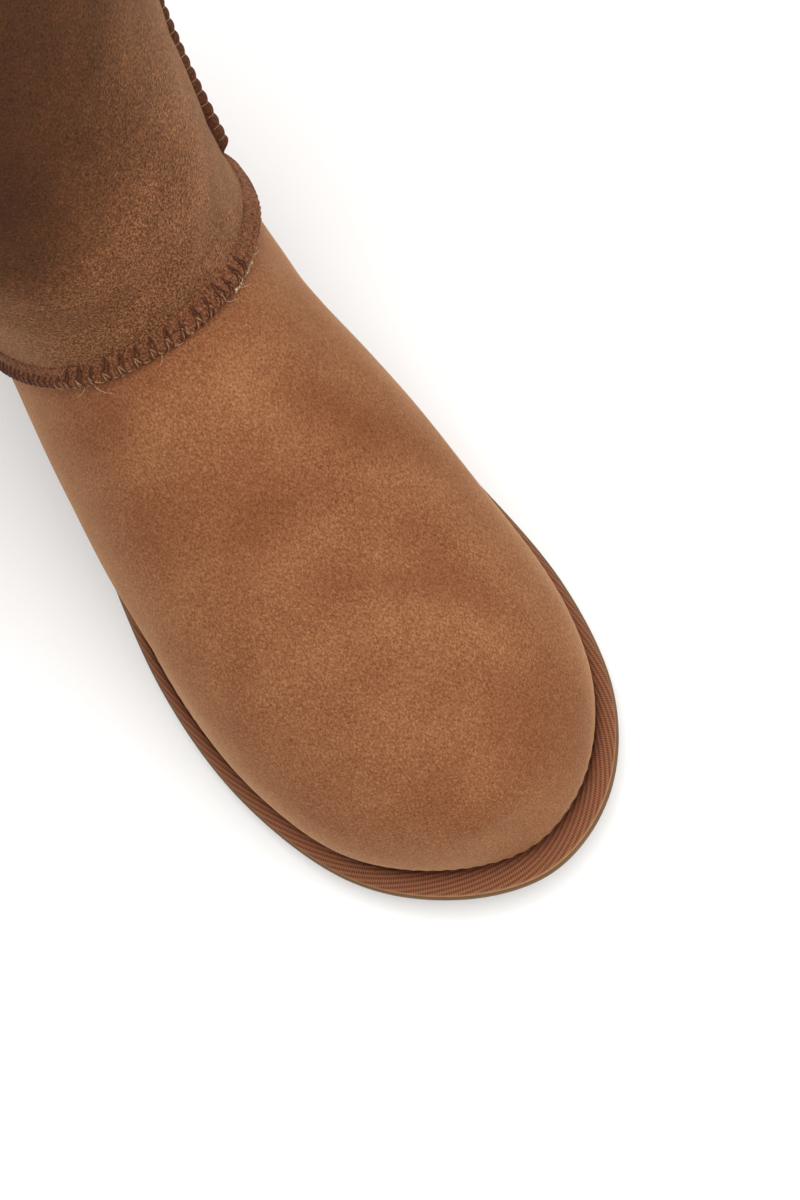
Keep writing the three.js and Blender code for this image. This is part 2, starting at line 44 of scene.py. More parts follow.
# columns: across, along from the toe mark, ledge between featherline and edge
OUTLINE = np.array(
    [
        (8, -3, 7.5), (31, 6, 7), (46.5, 28, 5.5), (51.5, 59, 4), (48, 95, 3), (40.5, 135, 3),
        (36.5, 175, 3.5), (36.5, 212, 4), (30, 245, 4.5), (0, 262, 5), (-30, 245, 4.5), (-37.5, 212, 4),
        (-42.5, 175, 4), (-50, 135, 3.5), (-54.5, 95, 4), (-51, 58, 5), (-38, 25, 6), (-17, 5, 7),
    ]
)
STATIONS = len(OUTLINE)
TOE_SPRING, TOE_SPRING_ALONG = 8, 48
HEEL_KICK, HEEL_KICK_ALONG, HEEL_KICK_LENGTH = 3, 240, 22
SOLE_FRONT, SOLE_HEEL, TAPE_HEIGHT = 14, 21, 5
THICKENS_FROM, THICKENS_TO = 95, 200
ARCH_RELIEF, WAIST_FRONT, WAIST_BACK = 2.5, (112, 130), (168, 184)
SLOPE_STEP = 1e-3


def linear(hex_colour):
    """sRGB hex to linear red, green, blue: c/12.92 in the dark part, ((c+0.055)/1.055)^2.4 above it."""
    c = np.array([int(hex_colour[i : i + 2], 16) for i in (1, 3, 5)]) / 255
    return tuple(np.where(c <= 0.04045, c / 12.92, ((c + 0.055) / 1.055) ** 2.4)) + (1.0,)


def through(rows, u, closed=False):
    """A curve through every row at step u. Between two rows it is the cubic whose slope at each row
    is half the difference of that row's neighbours."""
    rows = np.asarray(rows, float)
    u = np.asarray(u, float)
    count = len(rows)
    i = np.floor(u).astype(int)
    if closed:
        p = [rows[(i + k) % count] for k in (-1, 0, 1, 2)]
    else:
        i = np.clip(i, 0, count - 2)
        longer = np.vstack([2 * rows[0] - rows[1], rows, 2 * rows[-1] - rows[-2]])
        p = [longer[i + k + 1] for k in (-1, 0, 1, 2)]
    t = (u - i)[..., None]
    return 0.5 * (
        2 * p[1]
        + (p[2] - p[0]) * t
        + (2 * p[0] - 5 * p[1] + 4 * p[2] - p[3]) * t**2
        + (3 * p[1] - p[0] - 3 * p[2] + p[3]) * t**3
    )


def ease(x, start, end):
    """0 before start, 1 after end, 3t^2 - 2t^3 between."""
    t = np.clip((np.asarray(x, float) - start) / (end - start), 0, 1)
    return t * t * (3 - 2 * t)


def bump(x, centre, width):
    """A bell, e^(-((x - centre) / width)^2)."""
    return np.exp(-(((x - centre) / width) ** 2))


def outline_at(station, inset=0.0):
    """Across and along at a station of the outline, moved in square to it by inset."""
    row = through(OUTLINE, station, True)
    station = np.asarray(station)
    d = through(OUTLINE, station + SLOPE_STEP, True) - through(OUTLINE, station - SLOPE_STEP, True)
    size = np.hypot(d[..., 0], d[..., 1])
    return row[..., 0] - inset * d[..., 1] / size, row[..., 1] + inset * d[..., 0] / size


def ledge_at(station):
    """Distance from the outline in to the featherline."""
    return through(OUTLINE, station, True)[..., 2]


def toe_spring(along):
    """Lift of the toe: a parabola from the ball forward."""
    return TOE_SPRING * (np.maximum(TOE_SPRING_ALONG - along, 0) / TOE_SPRING_ALONG) ** 2


def ground_z(along):
    """Underside of the outsole: toe spring, heel kick and a relieved waist."""
    kick = HEEL_KICK * (np.maximum(along - HEEL_KICK_ALONG, 0) / HEEL_KICK_LENGTH) ** 2
    return toe_spring(along) + kick + ARCH_RELIEF * ease(along, *WAIST_FRONT) * (1 - ease(along, *WAIST_BACK))


def feather_z(along):
    """Height where the upper meets the sole."""
    return toe_spring(along) + SOLE_FRONT + (SOLE_HEEL - SOLE_FRONT) * ease(along, THICKENS_FROM, THICKENS_TO)


def feather_at(station):
    """Across, along and height of the featherline, where upper and sole meet."""
    across, along = outline_at(station, ledge_at(station))
    return np.stack([across, along, feather_z(along)], -1)


def placed(across, along, z):
    """Boot sizes to the frame: across from the middle, along back from the toe, height."""
    across, along, z = np.broadcast_arrays(across, along, z)
    return np.stack([across + X_SHIFT, along - ALONG_MARK, z], -1)


def hash01(cell, seed):
    """A steady value from 0 to 1 for each whole-number cell."""
    c = cell.astype(np.int64)
    n = c[..., 0] * 374761393 + c[..., 1] * 668265263 + c[..., 2] * 2147483647 + seed * 974634777
    n = (n ^ (n >> 13)) * 1274126177 & 0xFFFFFFFF
    n = (n ^ (n >> 16)) * 2246822519 & 0xFFFFFFFF
    return (n ^ (n >> 15) & 0xFFFFFFFF) / 0xFFFFFFFF


def chance_of(numbers, seed):
    """A steady value from 0 to 1 for each of a row of whole numbers, as a column."""
    return hash01(np.stack([numbers] * 3, -1), seed)[:, None]


def noise(p, size, seed=0):
    """Smooth noise from -1 to 1 over points p: cell values blended with 3t^2 - 2t^3 along each axis."""
    q = np.asarray(p) / size
    cell = np.floor(q)
    t = q - cell
    t = t * t * (3 - 2 * t)
    total = 0
    for corner in np.ndindex(2, 2, 2):
        c = np.array(corner)
        weight = np.prod(np.where(c, t, 1 - t), axis=-1)
        total = total + weight * hash01(cell + c, seed)
    return 2 * total - 1


def mesh_piece(name, vertices, faces, smooth=True):
    """A piece in the frame from vertices in millimetres, riding on the boot."""
    mesh = bpy.data.meshes.new(name)
    mesh.from_pydata((np.asarray(vertices).reshape(-1, 3) * MM).tolist(), [], faces)
    mesh.update()
    mesh.validate()
    mesh.polygons.foreach_set("use_smooth", np.full(len(mesh.polygons), smooth))
    piece = bpy.data.objects.new(name, mesh)
    bpy.context.collection.objects.link(piece)
    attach(piece, "root")
    return piece


def grid_faces(rows, columns, start=0, wrap=False, flip=False):
    """Four-sided faces of a grid numbered along its rows; wrap joins the last column to the first."""
    r = np.arange(rows - 1)[:, None]
    c = np.arange(columns if wrap else columns - 1)[None]
    d = (c + 1) % columns
    quads = np.stack([r * columns + c, r * columns + d, (r + 1) * columns + d, (r + 1) * columns + c], -1)
    quads = quads.reshape(-1, 4) + start
    return (quads[:, ::-1] if flip else quads).tolist()


def with_uv(piece, u, v, name="UVMap"):
    """Gives the piece a UV map from one u and one v per vertex."""
    layer = piece.data.uv_layers.new(name=name)
    index = np.empty(len(piece.data.loops), np.int32)
    piece.data.loops.foreach_get("vertex_index", index)
    pair = np.stack([np.ravel(u), np.ravel(v)], -1)[index]
    layer.data.foreach_set("uv", pair.astype(np.float32).ravel())


def add(tree, kind, links=None, **settings):
    """Adds a node, sets its properties, and sets or links each input that is given."""
    node = tree.nodes.new(kind)
    for key, value in settings.items():
        setattr(node, key, value)
    for socket, value in (links or {}).items():
        if isinstance(value, bpy.types.NodeSocket):
            tree.links.new(value, node.inputs[socket])
        else:
            node.inputs[socket].default_value = value
    return node


def start_material(name):
    """An empty material and its node tree."""
    material = bpy.data.materials.new(name)
    material.use_nodes = True
    tree = material.node_tree
    tree.nodes.clear()
    return material, tree


def finish_material(tree, surface):
    """Ends the tree in a Principled surface with these inputs."""
    shader = add(tree, "ShaderNodeBsdfPrincipled", surface)
    add(tree, "ShaderNodeOutputMaterial", {"Surface": shader.outputs[0]})


def maths(tree, operation, *inputs, **settings):
    """The result of a Math node with its inputs in order."""
    return add(tree, "ShaderNodeMath", dict(enumerate(inputs)), operation=operation, **settings).outputs[0]


def noise_texture(tree, place, scale, detail, **more):
    """The value of a noise texture; scale is in cells to the metre."""
    links = {"Vector": place, "Scale": scale, "Detail": detail}
    links.update({key.capitalize(): value for key, value in more.items()})
    return add(tree, "ShaderNodeTexNoise", links).outputs["Fac"]


def bumped(tree, height, strength, distance):
    """The normal of a bump texture; distance is in metres."""
    links = {"Height": height, "Strength": strength, "Distance": distance}
    return add(tree, "ShaderNodeBump", links).outputs["Normal"]


def ramp(tree, factor, stops):
    """A colour ramp of (place, hex colour) stops."""
    node = add(tree, "ShaderNodeValToRGB", {"Fac": factor})
    band = node.color_ramp
    while len(band.elements) < len(stops):
        band.elements.new(0.5)
    for element, (place, colour) in zip(band.elements, stops):
        element.position = place
        element.color = linear(colour)
    return node.outputs["Color"]


# Tread: bowed grooves across forefoot and heel between a plain rim, each row below a set of grooves.
GROOVES = [(34, 12.5, 7, 5), (196, 12.5, 4, -4)]  # first, pitch, how many, bow
GROOVE_DEPTH, GROOVE_HALF, RIM = 2.2, 2.0, 8


def tread_depth(across, along, inset):
    """Depth of the tread: flat-bottomed troughs with 0.7 mm flanks, fading out at the rim."""
    depth = np.zeros_like(across)
    for first, pitch, count, bow in GROOVES:
        for k in range(count):
            centre = first + k * pitch + bow / 2 - bow * np.cos(across / 38 * np.pi / 2)
            off = np.abs(along - centre)
            depth = np.maximum(depth, 1 - ease(off, GROOVE_HALF - 0.35, GROOVE_HALF + 0.35))
    return GROOVE_DEPTH * depth * ease(inset, RIM - 0.6, RIM + 0.6)


def ring_slab(steps, insets, heights, cap_rows, relief=None):
    """A slab on the outline. Rings at each inset and height make its side; each cap shrinks the ring
    to the middle line from toe to heel in cap_rows equal shares, and relief moves the lower cap."""
    s = np.arange(steps) / steps * STATIONS
    ledge = ledge_at(s)
    edge = outline_at(s, ledge)[1]
    rings = []
    for inset, height in zip(insets, heights):
        x, a = outline_at(s, inset(ledge))
        rings.append(np.stack([x, a, height(a, edge)], -1))
    mirror = (-np.arange(steps)) % steps

    share = np.linspace(0, 1, cap_rows + 1)[1:, None, None]

    def cap(ring):
        """The ring drawn to its middle line in equal shares."""
        middle = 0.5 * (ring + ring[mirror])
        return ring + (middle - ring) * share

    low = cap(rings[0])
    width = np.linalg.norm((rings[0] - rings[0][mirror])[:, :2], axis=-1) / 2
    inset_low = insets[0](ledge) + share[..., 0] * width
    low[..., 2] = ground_z(low[..., 1])
    if relief is not None:
        low[..., 2] += relief(low[..., 0], low[..., 1], inset_low)
    return np.concatenate([low[::-1], np.array(rings), cap(rings[-1])])


SOLE_STEPS, SOLE_CAP_ROWS = 500, 44
# Rings from the floor up: distance in from the outline and height. The lowest four round the edge.
EDGE_ROUNDING = [(4.4, 0), (3.4, 0.15), (2.5, 0.6), (1.9, 1.5)]
SIDE_RINGS = 5
side_shares = [k / (SIDE_RINGS - 1) for k in range(SIDE_RINGS)]


def sole_top(along):
    """Height of the sole's top, where the tape sits."""
    return feather_z(along) - TAPE_HEIGHT


sole_rows = ring_slab(
    SOLE_STEPS,
    [lambda ledge, inset=inset: inset + 0 * ledge for inset, _ in EDGE_ROUNDING]
    + [lambda ledge, k=k: 1.6 - 1.5 * k + 0 * ledge for k in side_shares]
    + [lambda ledge: 0.3 + 0 * ledge, lambda ledge: 1.0 + 0 * ledge],
    [lambda a, e, lift=lift: ground_z(a) + lift for _, lift in EDGE_ROUNDING]
    + [lambda a, e, k=k: (ground_z(a) + 2) * (1 - k) + (sole_top(e) - 0.5) * k for k in side_shares]
    + [lambda a, e: sole_top(e), lambda a, e: sole_top(e) + 0.1],
    SOLE_CAP_ROWS,
    tread_depth,
)
outsole = mesh_piece(
    "outsole_moulded",
    placed(sole_rows[..., 0], sole_rows[..., 1], sole_rows[..., 2]),
    grid_faces(len(sole_rows), SOLE_STEPS, wrap=True, flip=True),
)


def weld(piece, distance=1e-6):
    """Joins vertices that lie on each other, which closes seams and poles."""
    shape = bmesh.new()
    shape.from_mesh(piece.data)
    bmesh.ops.remove_doubles(shape, verts=shape.verts, dist=distance)
    shape.to_mesh(piece.data)
    shape.free()


weld(outsole)
# Foamed rubber, moulded: dull and even, with a fine pebble left by the mould and its tone varying in broad
# random patches.
rubber, tree = start_material("moulded_foam_rubber")
place = add(tree, "ShaderNodeTexCoord").outputs["Object"]
grain = noise_texture(tree, place, 1400.0, 3.0)
patch = noise_texture(tree, place, 60.0, 2.0)
tone = ramp(tree, patch, [(0.3, "#694d2f"), (0.55, "#715435"), (0.8, "#7b5c3a")])
relief = bumped(tree, grain, 0.35, 0.0002)
finish_material(
    tree,
    {"Base Color": tone, "Roughness": 0.72, "IOR": 1.5, "Normal": relief},
)
outsole.data.materials.append(rubber)
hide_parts("outsole")

# ------------------------------------------------------------------ welt tape
# Twill tape, woven and folded, sewn round the foot of the upper and turned out over the sole's edge.
# Its cords slant across it, and the seam pulls it down into a groove along the upper.
TAPE_STEPS, TAPE_PITCH, TAPE_SLANT, CORD_RISE = 1300, 1.15, 0.22, 0.09
TAPE_STITCH = 3.4
tape_s = np.arange(TAPE_STEPS) / TAPE_STEPS * STATIONS
tape_ledge = ledge_at(tape_s)
tape_edge = outline_at(tape_s, tape_ledge)[1]
tx, ta = outline_at(tape_s)
step_length = np.hypot(np.diff(np.append(tx, tx[0])), np.diff(np.append(ta, ta[0])))
tape_run = np.concatenate([[0], np.cumsum(step_length)[:-1]])
TAPE_LENGTH = step_length.sum()


def tape_section():
    """Inset and rise of the tape's skin, a row for each line along it: up over the rounded outer edge,
    across the sloping face to the groove at the upper, under the wall, down and back along the sole."""
    ledge = tape_ledge[None]
    face = np.array([(1.3, -4.7), (1.0, -4.2), (0.8, -3.7), (0.9, -3.2)])
    rows = [(f[0] + 0 * ledge, f[1] + 0 * ledge) for f in face]
    for share in np.linspace(0.07, 1, 34):
        crown = 0.55 * np.sin(np.pi * share) ** 0.8
        slope = -3.0 + 2.3 * share**0.9
        rows.append((0.95 + share * (ledge - 1.0), slope + crown - 0.5 * ease(share, 0.86, 1)))
    rows.append((ledge + 1.2, -0.9 + 0 * ledge))
    rows.append((ledge + 8.8, -0.9 + 0 * ledge))
    rows.append((ledge + 8.8, -4.7 + 0 * ledge))
    inset, rise = (np.concatenate([row[k] + 0 * ledge for row in rows]) for k in (0, 1))
    return inset, rise


tape_inset, tape_rise = tape_section()
tape_x, tape_a = outline_at(tape_s[None], tape_inset)
tape_z = feather_z(tape_edge)[None] + tape_rise
cords = round(TAPE_LENGTH * TAPE_SLANT / TAPE_PITCH)
cord_turn = 2 * np.pi * (tape_run[None] / TAPE_LENGTH * cords - tape_inset / TAPE_PITCH)
on_face = ease(tape_rise, -4.6, -3.4) * (1 - ease(tape_inset, tape_ledge[None] - 0.2, tape_ledge[None] + 0.4))
lift = CORD_RISE * np.cos(cord_turn) * on_face
stitches = round(TAPE_LENGTH / TAPE_STITCH)
pull = np.cos(np.pi * stitches * tape_run / TAPE_LENGTH) ** 8
lift = lift - 0.45 * pull[None] * np.exp(-np.abs(tape_inset - tape_ledge[None] + 0.9) / 0.8) * on_face
tape_points = placed(tape_x, tape_a, tape_z + lift)
order = np.vstack([tape_points, tape_points[:1]])
tape = mesh_piece("welt_tape_twill", order, grid_faces(len(order), TAPE_STEPS, wrap=True, flip=True))
with_uv(
    tape,
    np.broadcast_to(tape_run[None], order.shape[:2]) * MM,
    np.vstack([tape_inset, tape_inset[:1]]) * MM,
)
to_groove = tape.data.attributes.new("to_groove", "FLOAT", "POINT")
to_groove.data.foreach_set("value", np.ravel(np.vstack([tape_inset, tape_inset[:1]]) / tape_ledge[None]))
weld(tape)
# Cotton twill: matt, with the cords catching light on their crowns and dark in the furrows between.
twill, tree = start_material("woven_cotton_twill")
cloth = add(tree, "ShaderNodeUVMap", uv_map="UVMap").outputs["UV"]
split = add(tree, "ShaderNodeSeparateXYZ", {"Vector": cloth})
run_mm = maths(tree, "MULTIPLY", split.outputs["X"], 1000 * cords / TAPE_LENGTH)
inset_mm = maths(tree, "MULTIPLY", split.outputs["Y"], 1000 / TAPE_PITCH)
phase = maths(tree, "SUBTRACT", run_mm, inset_mm)
turn = maths(tree, "MULTIPLY", phase, 2 * np.pi)
crown = maths(tree, "COSINE", turn)
along_cord = maths(tree, "MULTIPLY", split.outputs["X"], 2 * np.pi / 0.00062)
picks = maths(tree, "SINE", along_cord)
place = add(tree, "ShaderNodeTexCoord").outputs["Object"]
fibre = noise_texture(tree, place, 2600.0, 4.0, roughness=0.7)
weave = maths(tree, "MULTIPLY_ADD", crown, 0.17, 0.5)
weave = maths(tree, "MULTIPLY_ADD", picks, 0.15, weave)
mixed = maths(tree, "MULTIPLY_ADD", fibre, 0.6, weave)
mixed = maths(tree, "SUBTRACT", mixed, 0.3)
# The ramp paints the cords lighter on their crowns and darker in the furrows and between the picks: painted
# highlight and shade, over the fibres' own broken tone.
tone = ramp(tree, mixed, [(0.2, "#5a3421"), (0.5, "#85543a"), (0.85, "#a06f50")])
# Painted shade: the tone is darkened down in the groove, where the vamp's edge overhangs the tape. Lighter
# tan along the outer fold.
depth = add(tree, "ShaderNodeAttribute", attribute_name="to_groove").outputs["Fac"]
groove_shade = ramp(tree, depth, [(0.02, "#fffaf2"), (0.2, "#f4ece4"), (0.6, "#e4d8d0"), (1.0, "#a08a7e")])
tone = add(tree, "ShaderNodeMix", {"Factor": 1.0, 6: tone, 7: groove_shade}, data_type="RGBA", blend_type="MULTIPLY")
fold = ramp(tree, depth, [(0.1, "#ffffff"), (0.19, "#000000")])
fold_mix = {"Factor": fold, 6: tone.outputs[2], 7: linear("#b3845a")}
tone = add(tree, "ShaderNodeMix", fold_mix, data_type="RGBA").outputs[2]
relief = bumped(tree, mixed, 0.6, 0.0003)
finish_material(
    tree,
    {
        "Base Color": tone,
        "Roughness": 0.85,
        "Specular IOR Level": 0.2,
        "Sheen Weight": 0.1,
        "Sheen Roughness": 0.5,
        "Sheen Tint": linear("#c79a78"),
        "Normal": relief,
    },
)
tape.data.materials.append(twill)
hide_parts("welt_tape")

# ------------------------------------------------------------------ insole
# A stiff board with foam and clipped sheepskin glued on top, dropped inside the closed upper.
WALL, INSOLE_STEPS, INSOLE_CAP_ROWS = 9, 240, 34
insole_rows = ring_slab(
    INSOLE_STEPS,
    [lambda l: l + WALL + 0.6, lambda l: l + WALL + 0.6, lambda l: l + WALL + 1.6, lambda l: l + WALL + 3.4],
    [
        lambda a, e: feather_z(e) - TAPE_HEIGHT + 0.3,
        lambda a, e: feather_z(e) - 0.5,
        lambda a, e: feather_z(e) + 2.4,
        lambda a, e: feather_z(e) + 3.6,
    ],
    INSOLE_CAP_ROWS,
)
under = INSOLE_CAP_ROWS
insole_rows[:under, :, 2] = feather_z(insole_rows[:under, :, 1]) - TAPE_HEIGHT + 0.35
insole_points = placed(insole_rows[..., 0], insole_rows[..., 1], insole_rows[..., 2])
pile = 0.5 * noise(insole_points, 2.6, 3) + 0.35 * noise(insole_points, 1.3, 4)
insole_points[..., 2] += pile * ease(np.arange(len(insole_rows)), under + 1, under + 4)[:, None]
insole_quads = grid_faces(len(insole_rows), INSOLE_STEPS, wrap=True, flip=True)
insole = mesh_piece("insole_fleece", insole_points, insole_quads)
weld(insole)
# Clipped sheepskin: curled wool, soft and matt, cream where it stands and honey brown down in the pile.
fleece, tree = start_material("clipped_sheepskin_fleece")
place = add(tree, "ShaderNodeTexCoord").outputs["Object"]
curl = noise_texture(tree, place, 700.0, 5.0, roughness=0.65, distortion=1.2)
lock = add(tree, "ShaderNodeTexVoronoi", {"Vector": place, "Scale": 320.0}, feature="F1")
depth = maths(tree, "MULTIPLY_ADD", lock.outputs["Distance"], -0.45, 0.62)
depth = maths(tree, "MULTIPLY_ADD", curl, 0.6, depth)
tone = ramp(tree, depth, [(0.35, "#a9814f"), (0.6, "#cfae7f"), (0.85, "#ead6b0")])
relief = bumped(tree, depth, 0.8, 0.0012)
finish_material(
    tree,
    {
        "Base Color": tone,
        "Roughness": 0.95,
        "Sheen Weight": 0.5,
        "Sheen Roughness": 0.6,
        "Sheen Tint": linear("#f4e6cc"),
        "Normal": relief,
    },
)
insole.data.materials.append(fleece)
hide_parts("insole")

# ------------------------------------------------------------------ vamp
# One piece of sheepskin, suede side out, pulled over the last from the toe and sewn down at the
# featherline. Its top edge runs over the instep and down each side to the sole.
HIDE = 2.2
SIDE_SEAM, SEAM_STATION, SEAM_SIDE_Z, SEAM_TOP_Z = 90.0, 6.25, 60.0, 100.0
SEAM_CORNER, SEAM_RISE = 0.3, 1.2
COLLAR_Z = 208.0
# columns: outline station, ridge across, ridge along, ridge height, roundness, swell of the sides
ARCHES = np.array(
    [
        (0, 7, 4.5, 20.5, 2.2, 0), (0.35, 5.5, 9, 35, 2.2, 0.03), (0.8, 5, 12.5, 45, 2.2, 0.05),
        (1.3, 4.5, 20.5, 52.5, 2.2, 0.06), (1.85, 3.5, 33, 58.5, 2.2, 0.06),
        (2.5, 2.5, 50, 64.5, 2.2, 0.04), (3.15, 1, 68, 71, 2.2, 0.03),
        (3.85, -0.5, 86, 78.5, 2.2, 0.02), (4.6, -1.5, 102, 86, 2.2, 0.02),
        (5.4, -2, 116, 93, 2.2, 0.06), (6.25, -2, 134, 100, 2.2, 0.15),
    ]
)
# columns: height, middle across, front, widest line and back along, half width, roundness
RINGS = np.array(
    [
        (20, -3, 130, 184, 256, 37.5, 2.2), (60, -2, 136, 188, 258, 37, 2.2),
        (100, -2, 134, 197, 257, 38, 2.2), (150, -4, 138, 202, 259, 44, 2.1),
        (208, -4, 141, 203, 261, 49.5, 2),
    ]
)


def power(v, p):
    """|v|^p with the sign of v."""
    return np.sign(v) * np.abs(v) ** p


def ring_at(angle, z):
    """Across and along of the leg: a rounded oval with its widest line between front and back."""
    row = through(RINGS, np.interp(z, RINGS[:, 0], np.arange(len(RINGS))))
    turn = np.radians(angle)
    side = power(np.sin(turn), 2 / row[..., 6])
    ahead = power(np.cos(turn), 2 / row[..., 6])
    reach = np.where(ahead > 0, row[..., 3] - row[..., 2], row[..., 4] - row[..., 3])
    return row[..., 1] + row[..., 5] * side, row[..., 3] - reach * ahead


def heel_station(angle):
    """Outline station below an angle of the back panel, and that angle kept between the side seams."""
    held = np.clip(np.mod(angle, 360), SIDE_SEAM, 360 - SIDE_SEAM)
    return SEAM_STATION + (held - SIDE_SEAM) / (180 - SIDE_SEAM) * (STATIONS / 2 - SEAM_STATION), held


def leg_at(angle, z):
    """The leg's skin: the oval rings, drawn onto the heel featherline over the lowest 45 mm."""
    angle, z = np.broadcast_arrays(np.asarray(angle, float), np.asarray(z, float))
    station, held = heel_station(angle)
    foot = feather_at(station)
    base = ring_at(held, foot[..., 2])
    here = ring_at(angle, z)
    pull = 1 - ease(z - foot[..., 2], 0, 45)
    return placed(here[0] + pull * (foot[..., 0] - base[0]), here[1] + pull * (foot[..., 1] - base[1]), z)


def seam_place(arc):
    """Angle and height of the vamp's top edge: up the side seam's line, then over the instep as a sine."""
    arc = np.asarray(arc, float)
    climb = 1 - np.abs(2 * arc - 1)
    side = np.where(arc < 0.5, -1, 1)
    foot = feather_at(np.array(SEAM_STATION))[..., 2]
    low = foot + (SEAM_SIDE_Z - foot) * np.clip(climb / SEAM_CORNER, 0, 1)
    over = np.clip((climb - SEAM_CORNER) / (1 - SEAM_CORNER), 0, 1)
    high = SEAM_SIDE_Z + (SEAM_TOP_Z - SEAM_SIDE_Z) * np.sin(np.pi / 2 * over) ** SEAM_RISE
    return side * SIDE_SEAM * (1 - over), np.where(climb <= SEAM_CORNER, low, high)


def arch_at(run, arc):
    """The last between toe and seam: rounded arches from featherline to featherline over a ridge point."""
    row = through(ARCHES, run * (len(ARCHES) - 1))
    station = np.maximum(row[..., 0], 0)
    near, far = feather_at(station), feather_at(STATIONS - station)
    centre, reach = (near + far) / 2, (near - far) / 2
    turn = np.pi * arc
    lift = np.abs(np.sin(turn)) ** (2 / row[..., 4])
    across = -power(np.cos(turn), 2 / row[..., 4])
    swell = 1 + row[..., 5] * 6.75 * lift * (1 - lift) ** 2
    p = centre + reach * (across * swell)[..., None] + (row[..., 1:4] - centre) * lift[..., None]
    return placed(p[..., 0], p[..., 1], p[..., 2])


def vamp_at(run, arc):
    """The arches, with the last half of the run drawn onto the seam line."""
    run, arc = np.broadcast_arrays(np.asarray(run, float), np.asarray(arc, float))
    shift = leg_at(*seam_place(arc)) - arch_at(np.ones_like(run), arc)
    return arch_at(run, arc) + shift * ease(run, 0.45, 1)[..., None]


def unit(v):
    """v at length 1."""
    return v / np.maximum(np.linalg.norm(v, axis=-1, keepdims=True), 1e-9)


def surface_normal(surface, a, b, limits, sign=1):
    """Outward unit normal by differences along both parameters, kept inside their limits."""
    a0, a1, b0, b1 = limits
    sa, sb = 4e-3 * (a1 - a0), 4e-3 * (b1 - b0)
    da = surface(np.minimum(a + sa, a1), b) - surface(np.maximum(a - sa, a0), b)
    db = surface(a, np.minimum(b + sb, b1)) - surface(a, np.maximum(b - sb, b0))
    return sign * unit(np.cross(db, da))


def leg_normal(angle, z):
    """Outward normal of the leg."""
    angle, z = np.broadcast_arrays(np.asarray(angle, float), np.asarray(z, float))
    return surface_normal(leg_at, angle, z, (-360, 720, 15, COLLAR_Z), -1)


def seam_normal(arc):
    """The normal that vamp and shaft share along their seam."""
    inner = np.clip(arc, 0.004, 0.996)
    of_vamp = surface_normal(vamp_at, np.full_like(inner, 0.99), inner, (0.02, 1, 0, 1))
    return unit(of_vamp + leg_normal(*seam_place(arc)))


def levelled(normal, share):
    """A normal with its upward part scaled by share."""
    return unit(np.concatenate([normal[..., :2], normal[..., 2:] * share[..., None]], -1))


def vamp_normal(run, arc):
    """Normal of the vamp: level along the featherline, straight ahead at the toe, shared at the seam."""
    inner = np.clip(arc, 0.01, 0.99)
    own = surface_normal(vamp_at, np.maximum(run, 0.05), inner, (0.02, 1, 0, 1))
    climb = 1 - np.abs(2 * arc - 1)
    toe = 1 - ease(run, 0, 0.08)
    flat = levelled(own, ease(climb, 0, 0.3) * (1 - toe))
    flat = unit(flat * (1 - toe[..., None]) + np.array([0, -1.0, 0]) * toe[..., None])
    seam_share = ease(run, 0.88, 1)[..., None]
    return unit(flat * (1 - seam_share) + seam_normal(arc) * seam_share)


# Soft troughs and ridges where the hide has been bent and handled, placed on the boot:
# from across, from along, to across, to along, half width, height (minus is a trough).
VAMP_CREASES = [
    (-30, 128, 8, 117, 5.0, -0.5),
    (-26, 119, 14, 108, 3.2, 0.45),
    (-22, 113, 16, 101, 4.0, -0.45),
    (8, 103, 30, 112, 5.0, -0.55),
    (14, 92, 32, 99, 5.0, 0.4),
    (-44, 96, -38, 132, 6.0, -0.6),
    (30, 118, 34, 150, 6.0, -0.7),
    (-12, 66, 24, 60, 9.0, -0.35),
    (-34, 60, -20, 84, 8.0, 0.35),
    (10, 36, 30, 44, 8.0, -0.3),
]


def crease_height(x, a, creases):
    """Height of the creases: a bell across the distance to each line, fading round its ends."""
    total = 0
    for x0, a0, x1, a1, width, height in creases:
        dx, da = x1 - x0, a1 - a0
        t = np.clip(((x - x0) * dx + (a - a0) * da) / (dx * dx + da * da), 0, 1)
        total = total + height * bump(np.hypot(x - x0 - t * dx, a - a0 - t * da), 0, width)
    return total


def wall_faces(rows, columns):
    """Faces of a closed wall between an outer grid and an inner grid numbered after it."""
    n = rows * columns
    faces = grid_faces(rows, columns) + grid_faces(rows, columns, n, flip=True)
    r, c = np.arange(rows - 1) * columns, np.arange(columns - 1)
    end, last = columns - 1, (rows - 1) * columns
    left = np.stack([r, r + columns, r + columns + n, r + n], -1)
    right = np.stack([r + columns + end, r + end, r + end + n, r + columns + end + n], -1)
    first = np.stack([c + 1, c, c + n, c + 1 + n], -1)
    last = np.stack([c, c + 1, c + 1 + n, c + n], -1) + last
    return faces + left.tolist() + right.tolist() + first.tolist() + last.tolist()


def face_outwards(piece):
    """Turns every face when the signed volume, the sum of a.(b x c)/6, comes out negative."""
    mesh = piece.data
    mesh.calc_loop_triangles()
    tri = np.empty(len(mesh.loop_triangles) * 3, np.int32)
    mesh.loop_triangles.foreach_get("vertices", tri)
    co = np.empty(len(mesh.vertices) * 3)
    mesh.vertices.foreach_get("co", co)
    a, b, c = co.reshape(-1, 3)[tri.reshape(-1, 3)].transpose(1, 0, 2)
    if np.einsum("ij,ij->", a, np.cross(b, c)) < 0:
        mesh.flip_normals()


def wall_piece(name, outer, inner):
    """A closed wall between two grids of points, its faces turned outwards."""
    rows, columns = outer.shape[:2]
    points = np.concatenate([outer.reshape(-1, 3), inner.reshape(-1, 3)])
    piece = mesh_piece(name, points, wall_faces(rows, columns))
    weld(piece, 2e-6)
    face_outwards(piece)
    return piece


